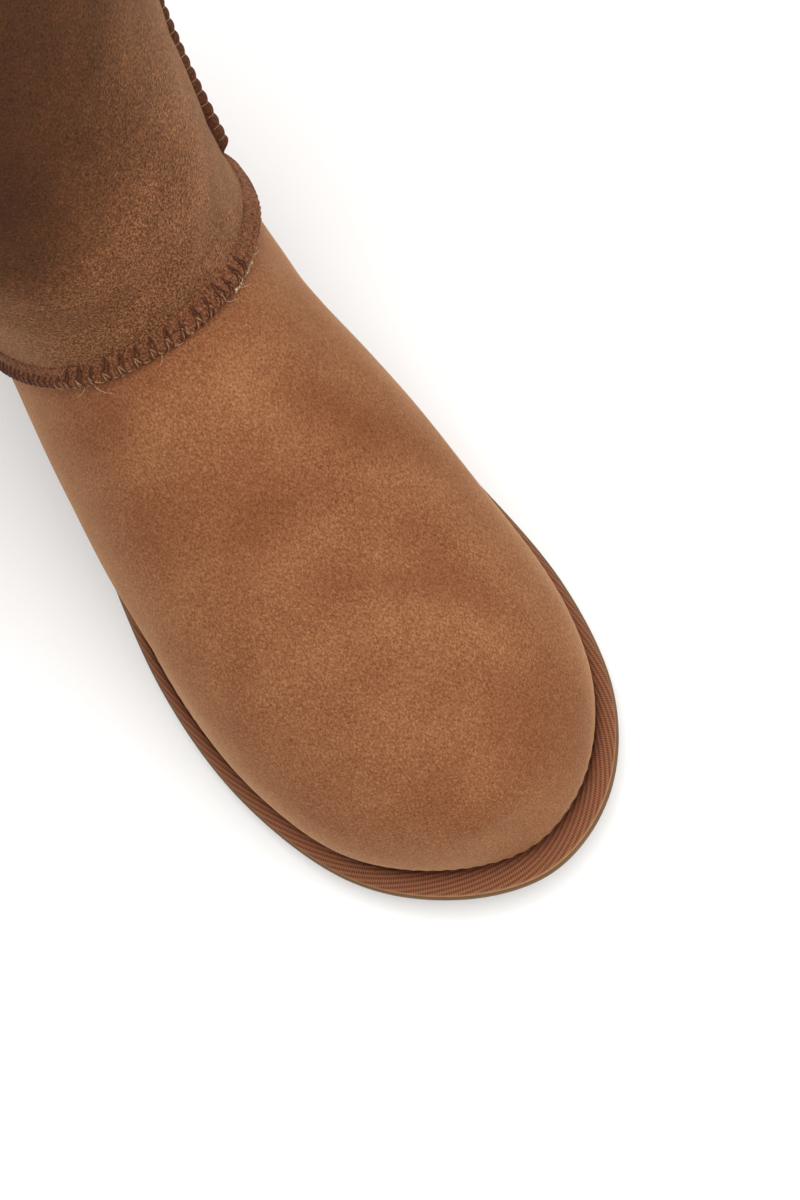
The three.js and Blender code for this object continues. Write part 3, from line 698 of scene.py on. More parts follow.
VAMP_ROWS, VAMP_COLUMNS = 150, 210
run, arc = np.meshgrid(
    np.linspace(0, 1, VAMP_ROWS) ** 1.25, np.linspace(0, 1, VAMP_COLUMNS), indexing="ij"
)
vamp_skin = vamp_at(run, arc)
vamp_out = vamp_normal(run, arc)
skin_x, skin_a = vamp_skin[..., 0] - X_SHIFT, vamp_skin[..., 1] + ALONG_MARK
away_from_edge = ease(1 - np.abs(2 * arc - 1), 0.0, 0.12) * ease(run, 0, 0.05)
relief_mm = crease_height(skin_x, skin_a, VAMP_CREASES) * away_from_edge
relief_mm = relief_mm + 0.35 * noise(vamp_skin, 26.0, 11) * away_from_edge
relief_mm = relief_mm * (1 - ease(run, 0.93, 1))
edge_mm = (vamp_skin[..., 2] - feather_z(skin_a)) * ease(run, 0.0, 0.001)
tug = 0.22 * np.exp(-np.maximum(edge_mm, 0) / 2.2)
round_run = np.interp(
    np.degrees(np.arctan2(skin_x, -(skin_a - 60))), np.linspace(-180, 180, 400), np.linspace(0, 320, 400)
)
relief_mm = relief_mm - tug * (0.5 + 0.5 * np.cos(2 * np.pi * round_run / TAPE_STITCH))
vamp_skin = vamp_skin + vamp_out * relief_mm[..., None]
vamp = wall_piece("vamp_suede", vamp_skin, vamp_at(run, arc) - vamp_out * HIDE)


def brushed_and_shaded_tone(piece, x, y, patches):
    """A tone stored as a sum of soft ovals: where the nap has been brushed, below 0 where it lies dark and
    above where it stands light, and on the shaft also broad painted shade. A patch is (x, y, half length,
    half width, degrees from the x axis, amount)."""
    total = np.zeros(len(piece.data.vertices))
    for px, py, long, wide, turn, amount in patches:
        c, s = np.cos(np.radians(turn)), np.sin(np.radians(turn))
        u, v = (x - px) * c + (y - py) * s, (y - py) * c - (x - px) * s
        total += amount * np.exp(-((u / long) ** 2) - (v / wide) ** 2)
    tone = piece.data.attributes.new("brushed_nap_and_shade", "FLOAT", "POINT")
    tone.data.foreach_set("value", total)


def vertices_mm(piece):
    """Vertices of a piece in millimetres."""
    co = np.empty(len(piece.data.vertices) * 3)
    piece.data.vertices.foreach_get("co", co)
    return co.reshape(-1, 3) / MM


def suede(name, deep, dark, middle, light, nap_depth, sheen):
    """Suede: the flesh side of the hide, ground to a short nap. The nap lies in worm-like clumps half a
    millimetre across, lighter where it stands and darker where it parts, and broad patches have been
    brushed one way or the other; on the shaft the stored tone of those patches also carries painted shade.
    Nap edges scatter light at a grazing angle."""
    material, tree = start_material(name)
    place = add(tree, "ShaderNodeTexCoord").outputs["Object"]
    turned = {"Vector": place, "Rotation": (0.3, 0.2, 0.6), "Scale": (1.0, 0.7, 0.85)}
    lie = add(tree, "ShaderNodeMapping", turned)
    nap = noise_texture(tree, lie.outputs[0], 2300.0, 2.0, roughness=0.55, distortion=0.4)
    clump = noise_texture(tree, place, 900.0, 2.0, roughness=0.5)
    stroke = noise_texture(tree, place, 62.0, 4.0, roughness=0.62)
    broad = noise_texture(tree, place, 26.0, 2.0, distortion=0.7)
    brushed_nap_and_shade = add(tree, "ShaderNodeAttribute", attribute_name="brushed_nap_and_shade").outputs["Fac"]

    def sum_of(parts, start):
        """start plus each output times its weight."""
        value = start
        for output, weight in parts:
            value = maths(tree, "MULTIPLY_ADD", output, weight, value)
        return value

    # Where the nap lies flat and dark, and under the painted shade on the shaft, its grain hardly shows.
    stands = maths(tree, "MULTIPLY_ADD", brushed_nap_and_shade, 0.32, 1.0, use_clamp=True)
    depth = sum_of([(stands, 0.7 * nap_depth)], 0.3 * nap_depth)
    grain = sum_of([(nap, 1.0), (clump, 0.12)], -0.56)
    fine = maths(tree, "MULTIPLY_ADD", grain, depth, 0.5)
    # The stored tone adds in here: brushed nap, and on the shaft painted shade towards the collar.
    tone = sum_of([(stroke, 0.24), (broad, 0.18), (brushed_nap_and_shade, 0.09)], -0.21)
    height = maths(tree, "ADD", fine, tone)
    colour = ramp(tree, height, [(0.12, deep), (0.34, dark), (0.52, middle), (0.8, light)])
    relief = bumped(tree, fine, 0.5, 0.0004)
    finish_material(
        tree,
        {
            "Base Color": colour,
            "Roughness": 0.92,
            "IOR": 1.45,
            "Specular IOR Level": 0.15,
            "Sheen Weight": sheen,
            "Sheen Roughness": 0.34,
            "Sheen Tint": linear("#e2b88c"),
            "Normal": relief,
        },
    )
    return material


# Brushed patches on the vamp: across, along, half length, half width, degrees, amount.
VAMP_BRUSHED = [
    (27, 98, 14, 7, -50, -1.1), (22, 110, 9, 5, -30, -0.7), (34, 84, 12, 6, -60, 0.75),
    (24, 84, 9, 6, -20, 0.45), (13, 66, 20, 4, -38, -0.9), (24, 62, 9, 5, -50, -0.6),
    (2, 79, 10, 4, -60, 0.2), (-8, 90, 14, 8, 30, -0.7), (-14, 118, 22, 6, 8, 0.55),
    (-22, 128, 12, 5, -20, -0.6), (-28, 108, 14, 8, -70, -0.55), (-4, 100, 16, 7, -20, -0.4),
    (8, 116, 9, 6, 20, 0.5), (19, 48, 14, 7, -30, 0.45), (4, 50, 12, 8, 20, -0.35),
    (-10, 62, 16, 7, -10, 0.45), (-24, 76, 18, 7, -70, 0.3), (24, 26, 14, 9, -60, -0.8),
    (10, 22, 16, 6, -15, -0.35), (-8, 40, 16, 9, -30, 0.4), (-20, 52, 14, 7, -50, -0.3),
    (-2, 16, 14, 6, -20, -0.4), (36, 62, 14, 5, -75, 0.4), (-36, 92, 22, 5, -75, 0.6),
    (40, 44, 16, 4, -75, 0.45), (16, 132, 8, 5, 0, -0.3),
]
skin = vertices_mm(vamp)
brushed_and_shaded_tone(vamp, skin[:, 0] - X_SHIFT, skin[:, 1] + ALONG_MARK, VAMP_BRUSHED)
vamp_hide = suede("vamp_brushed_suede", "#562d17", "#764428", "#895739", "#a9784f", 1.0, 0.6)
vamp.data.materials.append(vamp_hide)
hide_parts("upper_vamp")

# ------------------------------------------------------------------ shaft panels
# Two panels of the same sheepskin, a front one and a back one, sewn edge to edge up the sides.
# The back panel runs down to the sole at the heel. Their lower front edge flares out over the vamp.
EDGE_DEG = 0.5
MM_PER_DEGREE = 0.78  # round the leg, near enough for placing folds and patches
SHAFT_CREASES = [
    # degrees round, height, degrees round, height, half width in mm, height in mm
    (-50, 104, 10, 118, 7.0, -0.9),
    (-70, 88, -30, 112, 6.0, 0.6),
    (30, 106, 80, 92, 6.0, -0.7),
    (-20, 132, 45, 124, 9.0, 0.5),
    (60, 130, 88, 122, 6.0, -0.6),
    (110, 82, 160, 96, 8.0, -1.0),
    (200, 97, 250, 84, 8.0, -1.0),
    (120, 104, 240, 108, 9.0, 0.7),
    (150, 118, 215, 122, 7.0, -0.5),
]


def shaft_relief(angle, z, p):
    """Soft folds at the ankle and a slow waviness, none of it at the collar."""
    creases = [
        (from_turn * MM_PER_DEGREE, from_z, to_turn * MM_PER_DEGREE, to_z, width, height)
        for from_turn, from_z, to_turn, to_z, width, height in SHAFT_CREASES
    ]
    folds = crease_height(angle * MM_PER_DEGREE, z, creases) + 0.5 * noise(p, 34.0, 21)
    return folds * (1 - ease(z, 185, 205))


def front_grid(rows, columns):
    """Angle, height, seam arc and height above the seam, over the front panel."""
    arc = np.linspace(SEAM_CORNER / 2, 1 - SEAM_CORNER / 2, columns)
    angle, low = seam_place(arc)
    angle = np.clip(angle, -SIDE_SEAM + EDGE_DEG, SIDE_SEAM - EDGE_DEG)
    t = (np.linspace(0, 1, rows) ** 1.3)[:, None]
    z = low + 0.5 + (COLLAR_Z - low - 0.5) * t
    return np.broadcast_to(angle, z.shape), z, np.broadcast_to(arc, z.shape), z - low


def panel_normal(angle, z):
    """Normal of a shaft panel: level where the back panel stands on the sole."""
    own = leg_normal(angle, z)
    turn = np.mod(angle, 360)
    behind = (turn >= SIDE_SEAM) & (turn <= 360 - SIDE_SEAM)
    return np.where(behind[..., None], levelled(own, ease(z, 21, 45)), own)


angle, z, arc, above = front_grid(130, 150)
front_skin = leg_at(angle, z)
share = (1 - ease(above, 0, 14))[..., None]
front_out = unit(panel_normal(angle, z) * (1 - share) + seam_normal(arc) * share)
flare = 1.6 * np.exp(-above / 3.5)
front_inner = front_skin - front_out * HIDE
front_inner[-1, :, 2] = COLLAR_Z
front_lift = flare + shaft_relief(angle, z, front_skin) * ease(above, 2, 16)
front_skin = front_skin + front_out * front_lift[..., None]
shaft_front = wall_piece("shaft_front_suede", front_skin, front_inner)

angle = np.linspace(SIDE_SEAM + EDGE_DEG, 360 - SIDE_SEAM - EDGE_DEG, 160)[None]
foot = feather_at(heel_station(angle)[0])[..., 2]
z = foot + (COLLAR_Z - foot) * np.linspace(0, 1, 125)[:, None]
angle = np.broadcast_to(angle, z.shape)
back_skin = leg_at(angle, z)
back_out = panel_normal(angle, z)
back_inner = back_skin - back_out * HIDE
back_inner[-1, :, 2] = COLLAR_Z
fold = shaft_relief(angle, z, back_skin) * ease(z, 45, 75)
back_skin = back_skin + back_out * fold[..., None]
shaft_back = wall_piece("shaft_back_suede", back_skin, back_inner)
# Brushed patches on the shaft, and painted shade: the large dark ovals high on the front darken it towards
# the collar. Columns: mm round from the front, height, half length, half width, degrees, amount.
SHAFT_BRUSHED_AND_SHADE = [
    (-8, 205, 60, 40, 0, -3.2), (-14, 160, 30, 24, -70, -2.4), (-30, 138, 20, 14, 0, -1.0),
    (36, 180, 12, 34, 10, -1.3), (10, 122, 24, 7, -15, 0.55), (-12, 116, 16, 5, 10, -0.4),
    (34, 140, 10, 12, 0, 0.4), (-30, 112, 16, 8, 0, 0.5), (24, 108, 9, 6, -40, -0.5),
    (8, 134, 9, 5, 30, 0.5), (140, 150, 60, 30, 20, -0.6), (150, 90, 30, 14, 10, 0.5),
    (95, 120, 30, 20, 60, 0.4), (185, 120, 30, 20, -60, 0.4), (240, 150, 30, 30, 0, -0.4),
]
for panel in (shaft_front, shaft_back):
    skin = vertices_mm(panel)
    turn = np.degrees(np.arctan2(skin[:, 0] - X_SHIFT + 3, -(skin[:, 1] + ALONG_MARK - 200)))
    turn = np.where(turn < -95, turn + 360, turn)
    brushed_and_shaded_tone(panel, turn * MM_PER_DEGREE, skin[:, 2], SHAFT_BRUSHED_AND_SHADE)
# The shaft's suede is darker than the vamp's: partly the panels' own tone and partly painted shade on the
# upright panels, which the overhead light reaches at a slant.
shaft_shaded_hide = suede("shaft_brushed_shaded_suede", "#3a2213", "#5c3820", "#7c4f33", "#a9774f", 1.45, 0.2)
for panel, node in ((shaft_front, "shaft_front"), (shaft_back, "shaft_back")):
    panel.data.materials.append(shaft_shaded_hide)
    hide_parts(node)

# ------------------------------------------------------------------ fleece lining
# The wool side of the same sheepskins: about 7 mm of clipped, curled pile, which fills the wall
# and puffs a little over the cut edge at the collar.
PILE, LINING_GAP = WALL - HIDE, 0.25


def pile_height(p, top):
    """Length of the pile: locks about 3 mm across and curls about 1.5 mm across."""
    return PILE - 0.6 + 0.7 * noise(p, 3.2, 31) + 0.4 * noise(p, 1.6, 32) + 0.5 * top


angle = np.linspace(0, 360, 230, endpoint=False)[None]
rise = np.linspace(0, 1, 110)[:, None]
leg_foot = np.interp(np.abs((angle + 180) % 360 - 180), [0, 60, 90, 180], [102, 84, 62, 32])
z = leg_foot + (COLLAR_Z + 0.6 - leg_foot) * rise
angle = np.broadcast_to(angle, z.shape)
skin = leg_at(angle, np.minimum(z, COLLAR_Z))
skin[..., 2] = z
out = levelled(leg_normal(angle, np.minimum(z, COLLAR_Z)), 0 * z)
round_top = np.sqrt(np.clip(1 - ease(z, COLLAR_Z - 4, COLLAR_Z + 0.6) ** 2, 0.0, 1))
lining_outer = skin - out * (HIDE + LINING_GAP)
pile_depth = (pile_height(skin, ease(z, 190, 205)) - LINING_GAP) * (0.55 + 0.45 * round_top)
lining_inner = skin - out * (HIDE + LINING_GAP + pile_depth)[..., None]
lining_inner[-3:, :, 2] += np.array([0.6, 1.2, 1.4])[:, None] + 0.5 * noise(skin[-3:], 2.0, 33)
lining_outer[-1, :, 2] += 0.5
rows, columns = z.shape
points = np.concatenate([lining_outer.reshape(-1, 3), lining_inner.reshape(-1, 3)])
c = np.arange(columns)
d = (c + 1) % columns
n = rows * columns
faces = grid_faces(rows, columns, wrap=True) + grid_faces(rows, columns, n, wrap=True, flip=True)
faces += np.stack([d, c, c + n, d + n], -1).tolist()
faces += (np.stack([c, d, d + n, c + n], -1) + (rows - 1) * columns).tolist()
lining = mesh_piece("fleece_lining_leg", points, faces)
face_outwards(lining)
lining.data.materials.append(fleece)

# The foot's lining is the wool side of the vamp's own hide.
run, arc = np.meshgrid(np.linspace(0.03, 0.985, 60), np.linspace(0.02, 0.98, 100), indexing="ij")
skin, out = vamp_at(run, arc), vamp_normal(run, arc)
foot_outer = skin - out * (HIDE + LINING_GAP)
foot_inner = skin - out * (HIDE + pile_height(skin, 0))[..., None]
foot_lining = wall_piece("fleece_lining_foot", foot_outer, foot_inner)
foot_lining.data.materials.append(fleece)

# ------------------------------------------------------------------ vamp seam
# Shaft and vamp are laid edge to edge and overlocked. The raw edges stand out as a lip 4 to 5 mm wide,
# ribbed by the thread that binds it, with the needle thread's points reaching up the shaft.
LIP_PITCH = 3.7
# columns: distance out on the vamp, up the shaft, height off the hide
LIP_SECTION = np.array(
    [
        (0.3, 0, 0.4), (1.8, 0, 0.4), (3.3, 0, 0.5), (4.0, 0, 1.1), (4.1, 0, 2.0), (3.5, 0, 2.8),
        (2.4, 0.1, 3.1), (1.3, 0.4, 3.0), (0.6, 1.0, 2.6), (0.2, 1.8, 2.1), (0, 2.6, 1.6),
        (0, 3.1, 0.9), (0, 2.9, 0.1), (0, 1.6, 0.1),
    ]
)


def lip_frame(arc):
    """The seam's point, the way out over the vamp, the way up the shaft, and the three normals there."""
    angle, z = seam_place(arc)
    inner = np.clip(arc, 0.004, 0.996)
    origin = leg_at(angle, z)
    on_vamp = surface_normal(vamp_at, np.full_like(inner, 0.985), inner, (0.02, 1, 0, 1))
    out = unit(vamp_at(np.full_like(inner, 0.985), arc) - origin)
    side_part = (1 - ease(1 - np.abs(2 * arc - 1), SEAM_CORNER - 0.02, SEAM_CORNER + 0.14))[..., None]
    side = np.where(arc < 0.5, -1, 1)
    up = unit(leg_at(angle, z + 1) - origin)
    around = unit(leg_at(angle + side, z) - origin)
    return origin, out, unit(up * (1 - side_part) + around * side_part), on_vamp, leg_normal(angle, z)


def lip_point(arc, onto_vamp, onto_shaft, height):
    """A point of the lip from its three distances, its normal shared by how far it lies on each hide."""
    origin, out, up, on_vamp, on_shaft = lip_frame(arc)
    share = (onto_vamp / (onto_vamp + onto_shaft + 0.4))[..., None]
    normal = unit(on_vamp * share + on_shaft * (1 - share))
    return origin + out * onto_vamp[..., None] + up * onto_shaft[..., None] + normal * height[..., None]


lip_arc = np.linspace(0.005, 0.995, 4000)
seam_line = leg_at(*seam_place(lip_arc))
lip_run = np.concatenate([[0], np.cumsum(np.linalg.norm(np.diff(seam_line, axis=0), axis=1))])
LIP_LENGTH = lip_run[-1]


def lip_arc_at(length):
    """Seam arc at a length along the lip."""
    return np.interp(length, lip_run, lip_arc)


LIP_STEPS, LIP_SIDES = 620, 42
length = np.linspace(0, LIP_LENGTH, LIP_STEPS)[:, None]
section = through(LIP_SECTION, np.arange(LIP_SIDES) / LIP_SIDES * len(LIP_SECTION), closed=True)
onto_vamp, onto_shaft, height = (section[None, :, k] + 0 * length for k in range(3))
arcs = lip_arc_at(length) + 0 * onto_vamp
ribs = np.abs(np.sin(np.pi * length / (LIP_PITCH / 2) + 0.4 * onto_shaft + 0.3 * np.sin(length * 0.9)))
outer_part = ease(onto_vamp, 1.0, 4.0)
onto_vamp = onto_vamp * (1 - 0.09 * outer_part * (1 - ribs**0.6))
height = height * (1 - 0.16 * ease(height, 1.2, 3.0) * (1 - ribs**0.6))
lip_points = lip_point(arcs, onto_vamp, onto_shaft, height)
lip_points = lip_points + 0.12 * noise(lip_points, 1.1, 41)[..., None] * np.array([0.3, 0.5, 0.8])
faces = grid_faces(LIP_STEPS, LIP_SIDES, wrap=True)
faces += [list(range(LIP_SIDES))[::-1], [(LIP_STEPS - 1) * LIP_SIDES + k for k in range(LIP_SIDES)]]
lip = mesh_piece("vamp_seam_lip", lip_points, faces)
face_outwards(lip)
lip_hide = suede("seam_edge_suede", "#381d0f", "#583320", "#774a31", "#99684a", 1.4, 0.15)
lip.data.materials.append(lip_hide)
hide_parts("vamp_seam")


def threads(name, paths, radii, normals, sides=6):
    """Threads as tubes: rings square to each path, set out from the surface normal, with closed ends.
    paths is threads by steps by 3, radii and normals go with it."""
    tangent = unit(np.gradient(paths, axis=1))
    side = unit(np.cross(tangent, normals))
    other = np.cross(tangent, side)
    turn = np.arange(sides) / sides * 2 * np.pi
    ring = np.cos(turn)[:, None] * side[:, :, None] + np.sin(turn)[:, None] * other[:, :, None]
    points = paths[:, :, None] + radii[..., None, None] * ring
    count, steps = paths.shape[:2]
    start = (np.arange(count) * steps * sides)[:, None, None]
    quads = (np.array(grid_faces(steps, sides, wrap=True))[None] + start).reshape(-1, 4).tolist()
    loop = np.arange(sides)
    near = (loop[::-1][None] + start[:, 0]).tolist()
    far = (loop[None] + (steps - 1) * sides + start[:, 0]).tolist()
    return mesh_piece(name, points, quads + near + far)


def thread_material(name, dark, light):
    """Thread or fibre: a fine broken tone from its plies, with a slight gloss."""
    material, tree = start_material(name)
    place = add(tree, "ShaderNodeTexCoord").outputs["Object"]
    ply = noise_texture(tree, place, 2400.0, 3.0, roughness=0.7)
    tone = ramp(tree, ply, [(0.35, dark), (0.65, light)])
    relief = bumped(tree, ply, 0.5, 0.0002)
    finish_material(
        tree,
        {"Base Color": tone, "Roughness": 0.65, "Specular IOR Level": 0.25, "Normal": relief},
    )
    return material


def on_lip(length, across, lift):
    """A point on the lip at a length along it: across 0 is the outer lower edge, 1 the crease at the
    shaft, and more than 1 goes up the shaft by that many times 4 mm."""
    along_section = np.interp(across, [0, 0.25, 0.6, 1.0, 1.6], [2.6, 4.2, 6.2, 8.6, 11.0])
    row = through(LIP_SECTION, along_section)
    return lip_point(lip_arc_at(length), row[..., 0], row[..., 1], row[..., 2] + lift)


# Needle thread: over the instep a hairpin at each pitch, up across the lip onto the shaft and back,
# leaning a little. Down the outer side the stitches are shorter and closer, and on the big-toe side
# the thread is pulled down out of sight between the ribs.
INSTEP_FROM, INSTEP_TO = 97.0, 152.0


hair = np.arange(INSTEP_FROM, INSTEP_TO, LIP_PITCH)
short = np.arange(2, INSTEP_FROM - 1, 2.5)
first = np.concatenate([hair, short])[:, None]
is_hair = (np.arange(len(first)) < len(hair))[:, None]
wobble = 2 * chance_of(np.arange(len(first)), 51) - 1
t = np.linspace(0, 1, 34)[None]
reach = np.where(is_hair, 1.5 + 0.16 * wobble, 1.0 + 0.06 * wobble)
low = np.where(is_hair, 0.1, 0.42)
width = np.where(is_hair, 1.5 + 0.5 * wobble, 0.45)
across = low + (reach - low) * (1 - np.abs(2 * t - 1) ** 2.4)
length = first + width * 0.5 * (1 - np.cos(np.pi * t)) + 0.9 * across + 0.3 * np.sin(2 * np.pi * t) * is_hair
sunk = np.where(is_hair, 0.18, 0.0)
path = on_lip(length, across, sunk + 0.12 * np.sin(3 * np.pi * t) ** 2)
*_, on_vamp, on_shaft = lip_frame(lip_arc_at(length))
thick = np.broadcast_to(np.where(is_hair, 0.24, 0.27), path.shape[:2])
needle_thread = threads("seam_thread_needle", path, thick, unit(on_vamp + on_shaft))
needle_thread.data.materials.append(thread_material("brown_sewing_thread", "#34190d", "#663820"))

# Looper thread: a lighter chain that zigzags along the outer edge and shows between the hairpins.
t = np.linspace(0, 1, 3000)[None]
length = 0.6 + t * (LIP_LENGTH - 1.2)
phase = 2 * np.pi * (length - INSTEP_FROM) / LIP_PITCH
wide = ease(length, INSTEP_FROM - 6, INSTEP_FROM) * (1 - ease(length, INSTEP_TO - 8, INSTEP_TO))
across = 0.26 + 0.1 * np.sin(phase) + wide * (0.12 + 0.26 * np.sin(phase - 0.9)) + 0.04 * np.sin(2.3 * phase)
path = on_lip(length + 0.5 * np.cos(phase), across, 0.05 + 0.08 * np.cos(2 * phase))
_, out, _, on_vamp, _ = lip_frame(lip_arc_at(length))
looper_thread = threads("seam_thread_looper", path, np.full(path.shape[:2], 0.2), unit(on_vamp + 0.3 * out))
looper_thread.data.materials.append(thread_material("tan_sewing_thread", "#75492f", "#ab8059"))

# Loose fibres: a few pale hairs of wool stand out of the seam's cut edge.
hairs = np.arange(86)
seed = [chance_of(hairs, k) for k in range(61, 66)]
t = np.linspace(0, 1, 12)[None]
frayed = (hairs < 64)[:, None]  # one frayed place on the big-toe side of the instep
reach = np.where(frayed, 0.9 + 0.8 * seed[1], 0.8 + 4.5 * seed[1] ** 2)
start = np.where(frayed, 144 + 13 * seed[0] ** 0.8, 40 + seed[0] * 120)
path = on_lip(start + reach * (seed[2] - 0.5) * 2 * t**1.5, 0.16 - 0.1 * t, 0.1 + reach * 0.35 * t)
_, out, _, on_vamp, _ = lip_frame(lip_arc_at(start + 0 * t))
path = path + out * (reach * (0.3 + 0.6 * seed[3]) * t * (1 - 0.3 * t))[..., None]
hair_radius = np.where(frayed, 0.1, 0.05) * (1 - 0.6 * t) + 0 * path[..., 0]
fibres = threads("seam_loose_fibres", path, hair_radius, unit(on_vamp + 0 * path), 4)
fibres.data.materials.append(thread_material("loose_wool_fibre", "#c9a782", "#f0dcc0"))

# ------------------------------------------------------------------ side seams
# Front and back panels are sewn with their edges out and overlocked into a raised fin, a bead each stitch.
FIN_FOOT_Z, FIN_PITCH = SEAM_SIDE_Z + 5.1, 3.8
# columns: beside the seam, height off the hide
FIN_SECTION = np.array(
    [
        (-1.8, -1.6), (-2.2, 1.2), (-1.9, 2.6), (-1.0, 3.5), (0, 3.8), (1.0, 3.5), (1.9, 2.6), (2.2, 1.2),
        (1.8, -1.6),
    ]
)
fin_hide = suede("side_seam_binding", "#2f190d", "#462818", "#563220", "#74482e", 1.2, 0.1)
fin_thread = thread_material("fin_sewing_thread", "#7a5334", "#b08a60")


def fin_frame(side, z):
    """A point on a side seam, the way out and the way across the fin."""
    angle = side * SIDE_SEAM + 0 * z
    origin = leg_at(angle, z)
    normal = levelled(leg_normal(angle, z), 0 * z)
    return origin, normal, np.stack([-normal[..., 1], normal[..., 0], 0 * z], -1)


def fin_point(side, z, beside, height):
    """A point of the fin from its distances beside the seam and off the hide."""
    origin, normal, sideways = fin_frame(side, z)
    return origin + sideways * beside[..., None] + normal * height[..., None]


FIN_STEPS, FIN_SIDES = 520, 30
for side, name in ((1, "medial"), (-1, "lateral")):
    z = np.linspace(FIN_FOOT_Z, COLLAR_Z - 0.1, FIN_STEPS)[:, None]
    section = through(FIN_SECTION, np.linspace(0, len(FIN_SECTION) - 1, FIN_SIDES))
    beside, height = section[None, :, 0] + 0 * z, section[None, :, 1] + 0 * z
    lobe = np.abs(np.sin(np.pi * (z + 0.7 * beside) / FIN_PITCH)) ** 0.6
    grow = 0.84 + 0.16 * lobe
    rounded = 1 - 0.65 * ease(FIN_FOOT_Z + 3 - z, 0, 3) ** 2 - 0.8 * ease(z, COLLAR_Z - 3.5, COLLAR_Z)
    height = np.where(height > 0.5, height * grow * rounded, height)
    points = fin_point(side, z + 0 * beside, beside * (0.9 + 0.1 * lobe), height)
    faces = grid_faces(FIN_STEPS, FIN_SIDES, wrap=True)
    faces += [list(range(FIN_SIDES))[::-1], [(FIN_STEPS - 1) * FIN_SIDES + k for k in range(FIN_SIDES)]]
    fin = mesh_piece(f"side_seam_{name}_fin", points, faces)
    face_outwards(fin)
    fin.data.materials.append(fin_hide)
    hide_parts(f"side_seam_{name}")
    # A thread lies in the slanted valley between two beads, over the fin from hide to hide.
    valleys = int((COLLAR_Z - FIN_FOOT_Z) / FIN_PITCH) - 1
    k = (np.arange(valleys) + np.ceil(FIN_FOOT_Z / FIN_PITCH) + 0.5)[:, None]
    u = np.linspace(1.0, len(FIN_SECTION) - 2.0, 18)[None]
    row = through(FIN_SECTION, u + 0 * k)
    z = k * FIN_PITCH - 0.5 * FIN_PITCH - 0.7 * row[..., 0]
    inside = (z[:, 0] < COLLAR_Z - 1.5) & (z[:, -1] > FIN_FOOT_Z + 1) & (z[:, 0] > FIN_FOOT_Z + 1)
    z, row = z[inside], row[inside]
    path = fin_point(side, z, row[..., 0] * 0.9, row[..., 1] * 0.86 + 0.06)
    upright_way = np.broadcast_to([0, 0, 1.0], path.shape)
    stitch = threads(f"side_seam_{name}_thread", path, np.full(path.shape[:2], 0.13), upright_way, 5)
    stitch.data.materials.append(fin_thread)

# ------------------------------------------------------------------ collar wool
# The wool stands up past the cut hide at the collar in short crimped locks.
LOCKS, LOCK_STEPS = 2400, 8
locks = np.arange(LOCKS)
chance = [chance_of(locks, k) for k in range(71, 78)]
angle = 360 * chance[0]
rim = leg_at(angle, np.full_like(angle, COLLAR_Z))
out = levelled(leg_normal(angle, np.full_like(angle, COLLAR_Z)), np.zeros_like(angle))
root = rim - out * (HIDE + 0.5 + (PILE - 0.9) * chance[1])[..., None] + np.array([0, 0, -1.2])
t = np.linspace(0, 1, LOCK_STEPS)[None]
swing = 2 * np.pi * (chance[2] + 1.2 * t)
curl = 0.55 * ease(t, 0, 0.3)
drift = (chance[3] - 0.45) * 2.4
rise = (2.4 + 1.6 * chance[4]) * (t - 0.25 * t**2)
around = np.stack([-out[..., 1], out[..., 0], 0 * out[..., 0]], -1)
path = root + out * (drift * t**1.5 + curl * np.cos(swing))[..., None]
path = path + around * ((chance[5] - 0.5) * 2.2 * t + curl * np.sin(swing))[..., None]
path = path + np.array([0, 0, 1.0]) * rise[..., None]
wool = threads("collar_wool_locks", path, (0.28 + 0.14 * chance[6]) * (1 - 0.75 * t**2), around + 0 * path, 3)
wool.data.materials.append(fleece)

# ------------------------------------------------------------------ heel counter
# A suede patch cut to a low arch, skived thin at its edge and stitched twice onto the back panel.
COUNTER_THICK, COUNTER_HALF, COUNTER_TOP_Z, COUNTER_END_Z = 1.8, 62.0, 64.0, 30.0


def counter_top(angle):
    """Height of the patch's free edge: a low arch over the heel."""
    share = np.abs(angle - 180) / COUNTER_HALF
    return COUNTER_END_Z + (COUNTER_TOP_Z - COUNTER_END_Z) * np.clip(1 - share**2.4, 0, 1) ** 0.7


def counter_grid(rows, columns, foot_gap=0.2):
    """Angle, height and distance in from the patch's free edge."""
    turn = 180 + COUNTER_HALF * np.sin(np.linspace(-1, 1, columns) * np.pi / 2)[None]
    foot = feather_at(heel_station(turn)[0])[..., 2] + foot_gap
    t = np.sin(np.linspace(0, 1, rows) * np.pi / 2)[:, None]
    z = foot + (counter_top(turn) - foot) * t
    turn = np.broadcast_to(turn, z.shape)
    side_gap = (COUNTER_HALF - np.abs(turn - 180)) * 0.62
    return turn, z, np.minimum(counter_top(turn) - z, side_gap + 0.35 * (counter_top(turn) - z))


turn, z, inside = counter_grid(64, 150)
skin, out = leg_at(turn, z), panel_normal(turn, z)
skived = np.sqrt(np.clip(1 - (1 - np.clip(inside / 1.2, 0, 1)) ** 2, 0, 1))
stitch_rows = sum(bump(inside, mark, 0.55) for mark in (2.2, 4.6))
rise = 0.4 + COUNTER_THICK * skived - 0.35 * stitch_rows + 0.2 * noise(skin, 18.0, 61)
counter = wall_piece("heel_counter_suede", skin + out * rise[..., None], skin + out * 0.1)
counter.data.materials.append(vamp_hide)
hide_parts("heel_counter")

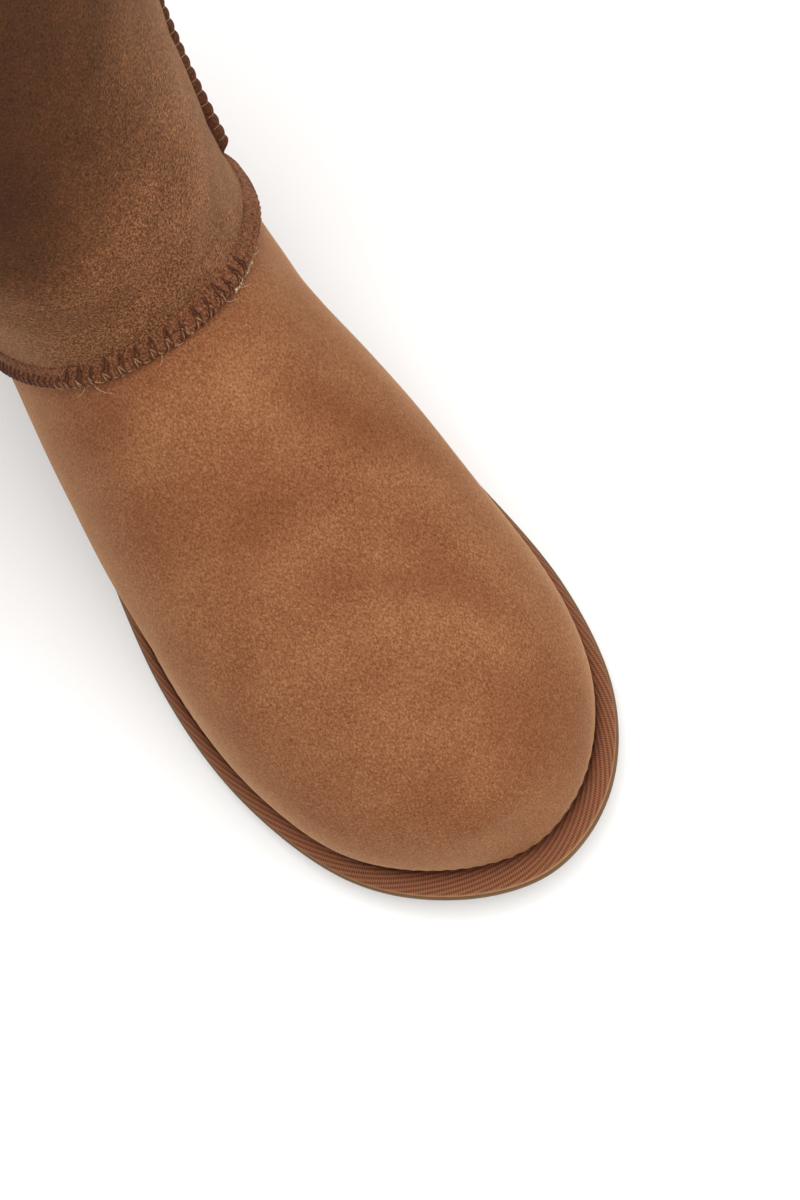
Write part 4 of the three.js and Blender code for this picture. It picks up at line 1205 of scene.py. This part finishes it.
# ------------------------------------------------------------------ floor, light and camera
# A plain white sweep, one large soft light over the toe on the camera's side and a bright even surround.
floor_mesh = bpy.data.meshes.new("floor_sweep")
FLOOR = 6.0
floor_mesh.from_pydata(
    [(-FLOOR, -FLOOR, 0), (FLOOR, -FLOOR, 0), (FLOOR, FLOOR, 0), (-FLOOR, FLOOR, 0)], [], [(0, 1, 2, 3)]
)
floor = bpy.data.objects.new("floor_sweep", floor_mesh)
bpy.context.collection.objects.link(floor)
paper, tree = start_material("matt_white_paper")
finish_material(tree, {"Base Color": linear("#fbfbfa"), "Roughness": 0.9})
floor_mesh.materials.append(paper)

world = bpy.data.worlds.new("studio_surround")
bpy.context.scene.world = world
world.use_nodes = True
world.node_tree.nodes["Background"].inputs["Color"].default_value = (1, 1, 1, 1)
world.node_tree.nodes["Background"].inputs["Strength"].default_value = 0.52


def aim(piece, place, target):
    """Puts a lamp at a place and points it at a target."""
    piece.location = place
    piece.rotation_mode = "QUATERNION"
    piece.rotation_quaternion = (Vector(target) - Vector(place)).to_track_quat("-Z", "Y")


lamp = bpy.data.lights.new("overhead_softbox", "AREA")
lamp.shape, lamp.size, lamp.size_y, lamp.energy = "RECTANGLE", 1.4, 1.4, 19.0
softbox = bpy.data.objects.new("overhead_softbox", lamp)
bpy.context.collection.objects.link(softbox)
aim(softbox, (0.2, -0.2, 1.3), (0, -0.03, 0.05))

# The camera is held close above the toes, 73 degrees above the floor, and rolled so that the toe
# points to the lower right.
TARGET, DISTANCE, LENS = Vector((0.0155, -0.0561, 0.030)), 0.3994, 47.4
TURN, ELEVATION, ROLL = np.radians(-1.6), np.radians(72.9), np.radians(-31.0)
back = Vector((np.sin(TURN) * np.cos(ELEVATION), -np.cos(TURN) * np.cos(ELEVATION), np.sin(ELEVATION)))
level = Vector((np.cos(TURN), np.sin(TURN), 0))
upright = back.cross(level)
right = np.cos(ROLL) * level + np.sin(ROLL) * upright
upward = -np.sin(ROLL) * level + np.cos(ROLL) * upright
lens = bpy.data.cameras.new("camera")
lens.lens, lens.sensor_width, lens.sensor_fit = LENS, 36.0, "AUTO"
camera = bpy.data.objects.new("camera", lens)
bpy.context.collection.objects.link(camera)
turned = Matrix((right, upward, back)).transposed().to_4x4()
camera.matrix_world = Matrix.Translation(TARGET + back * DISTANCE) @ turned
bpy.context.scene.camera = camera
bpy.context.scene.view_settings.view_transform = "Standard"
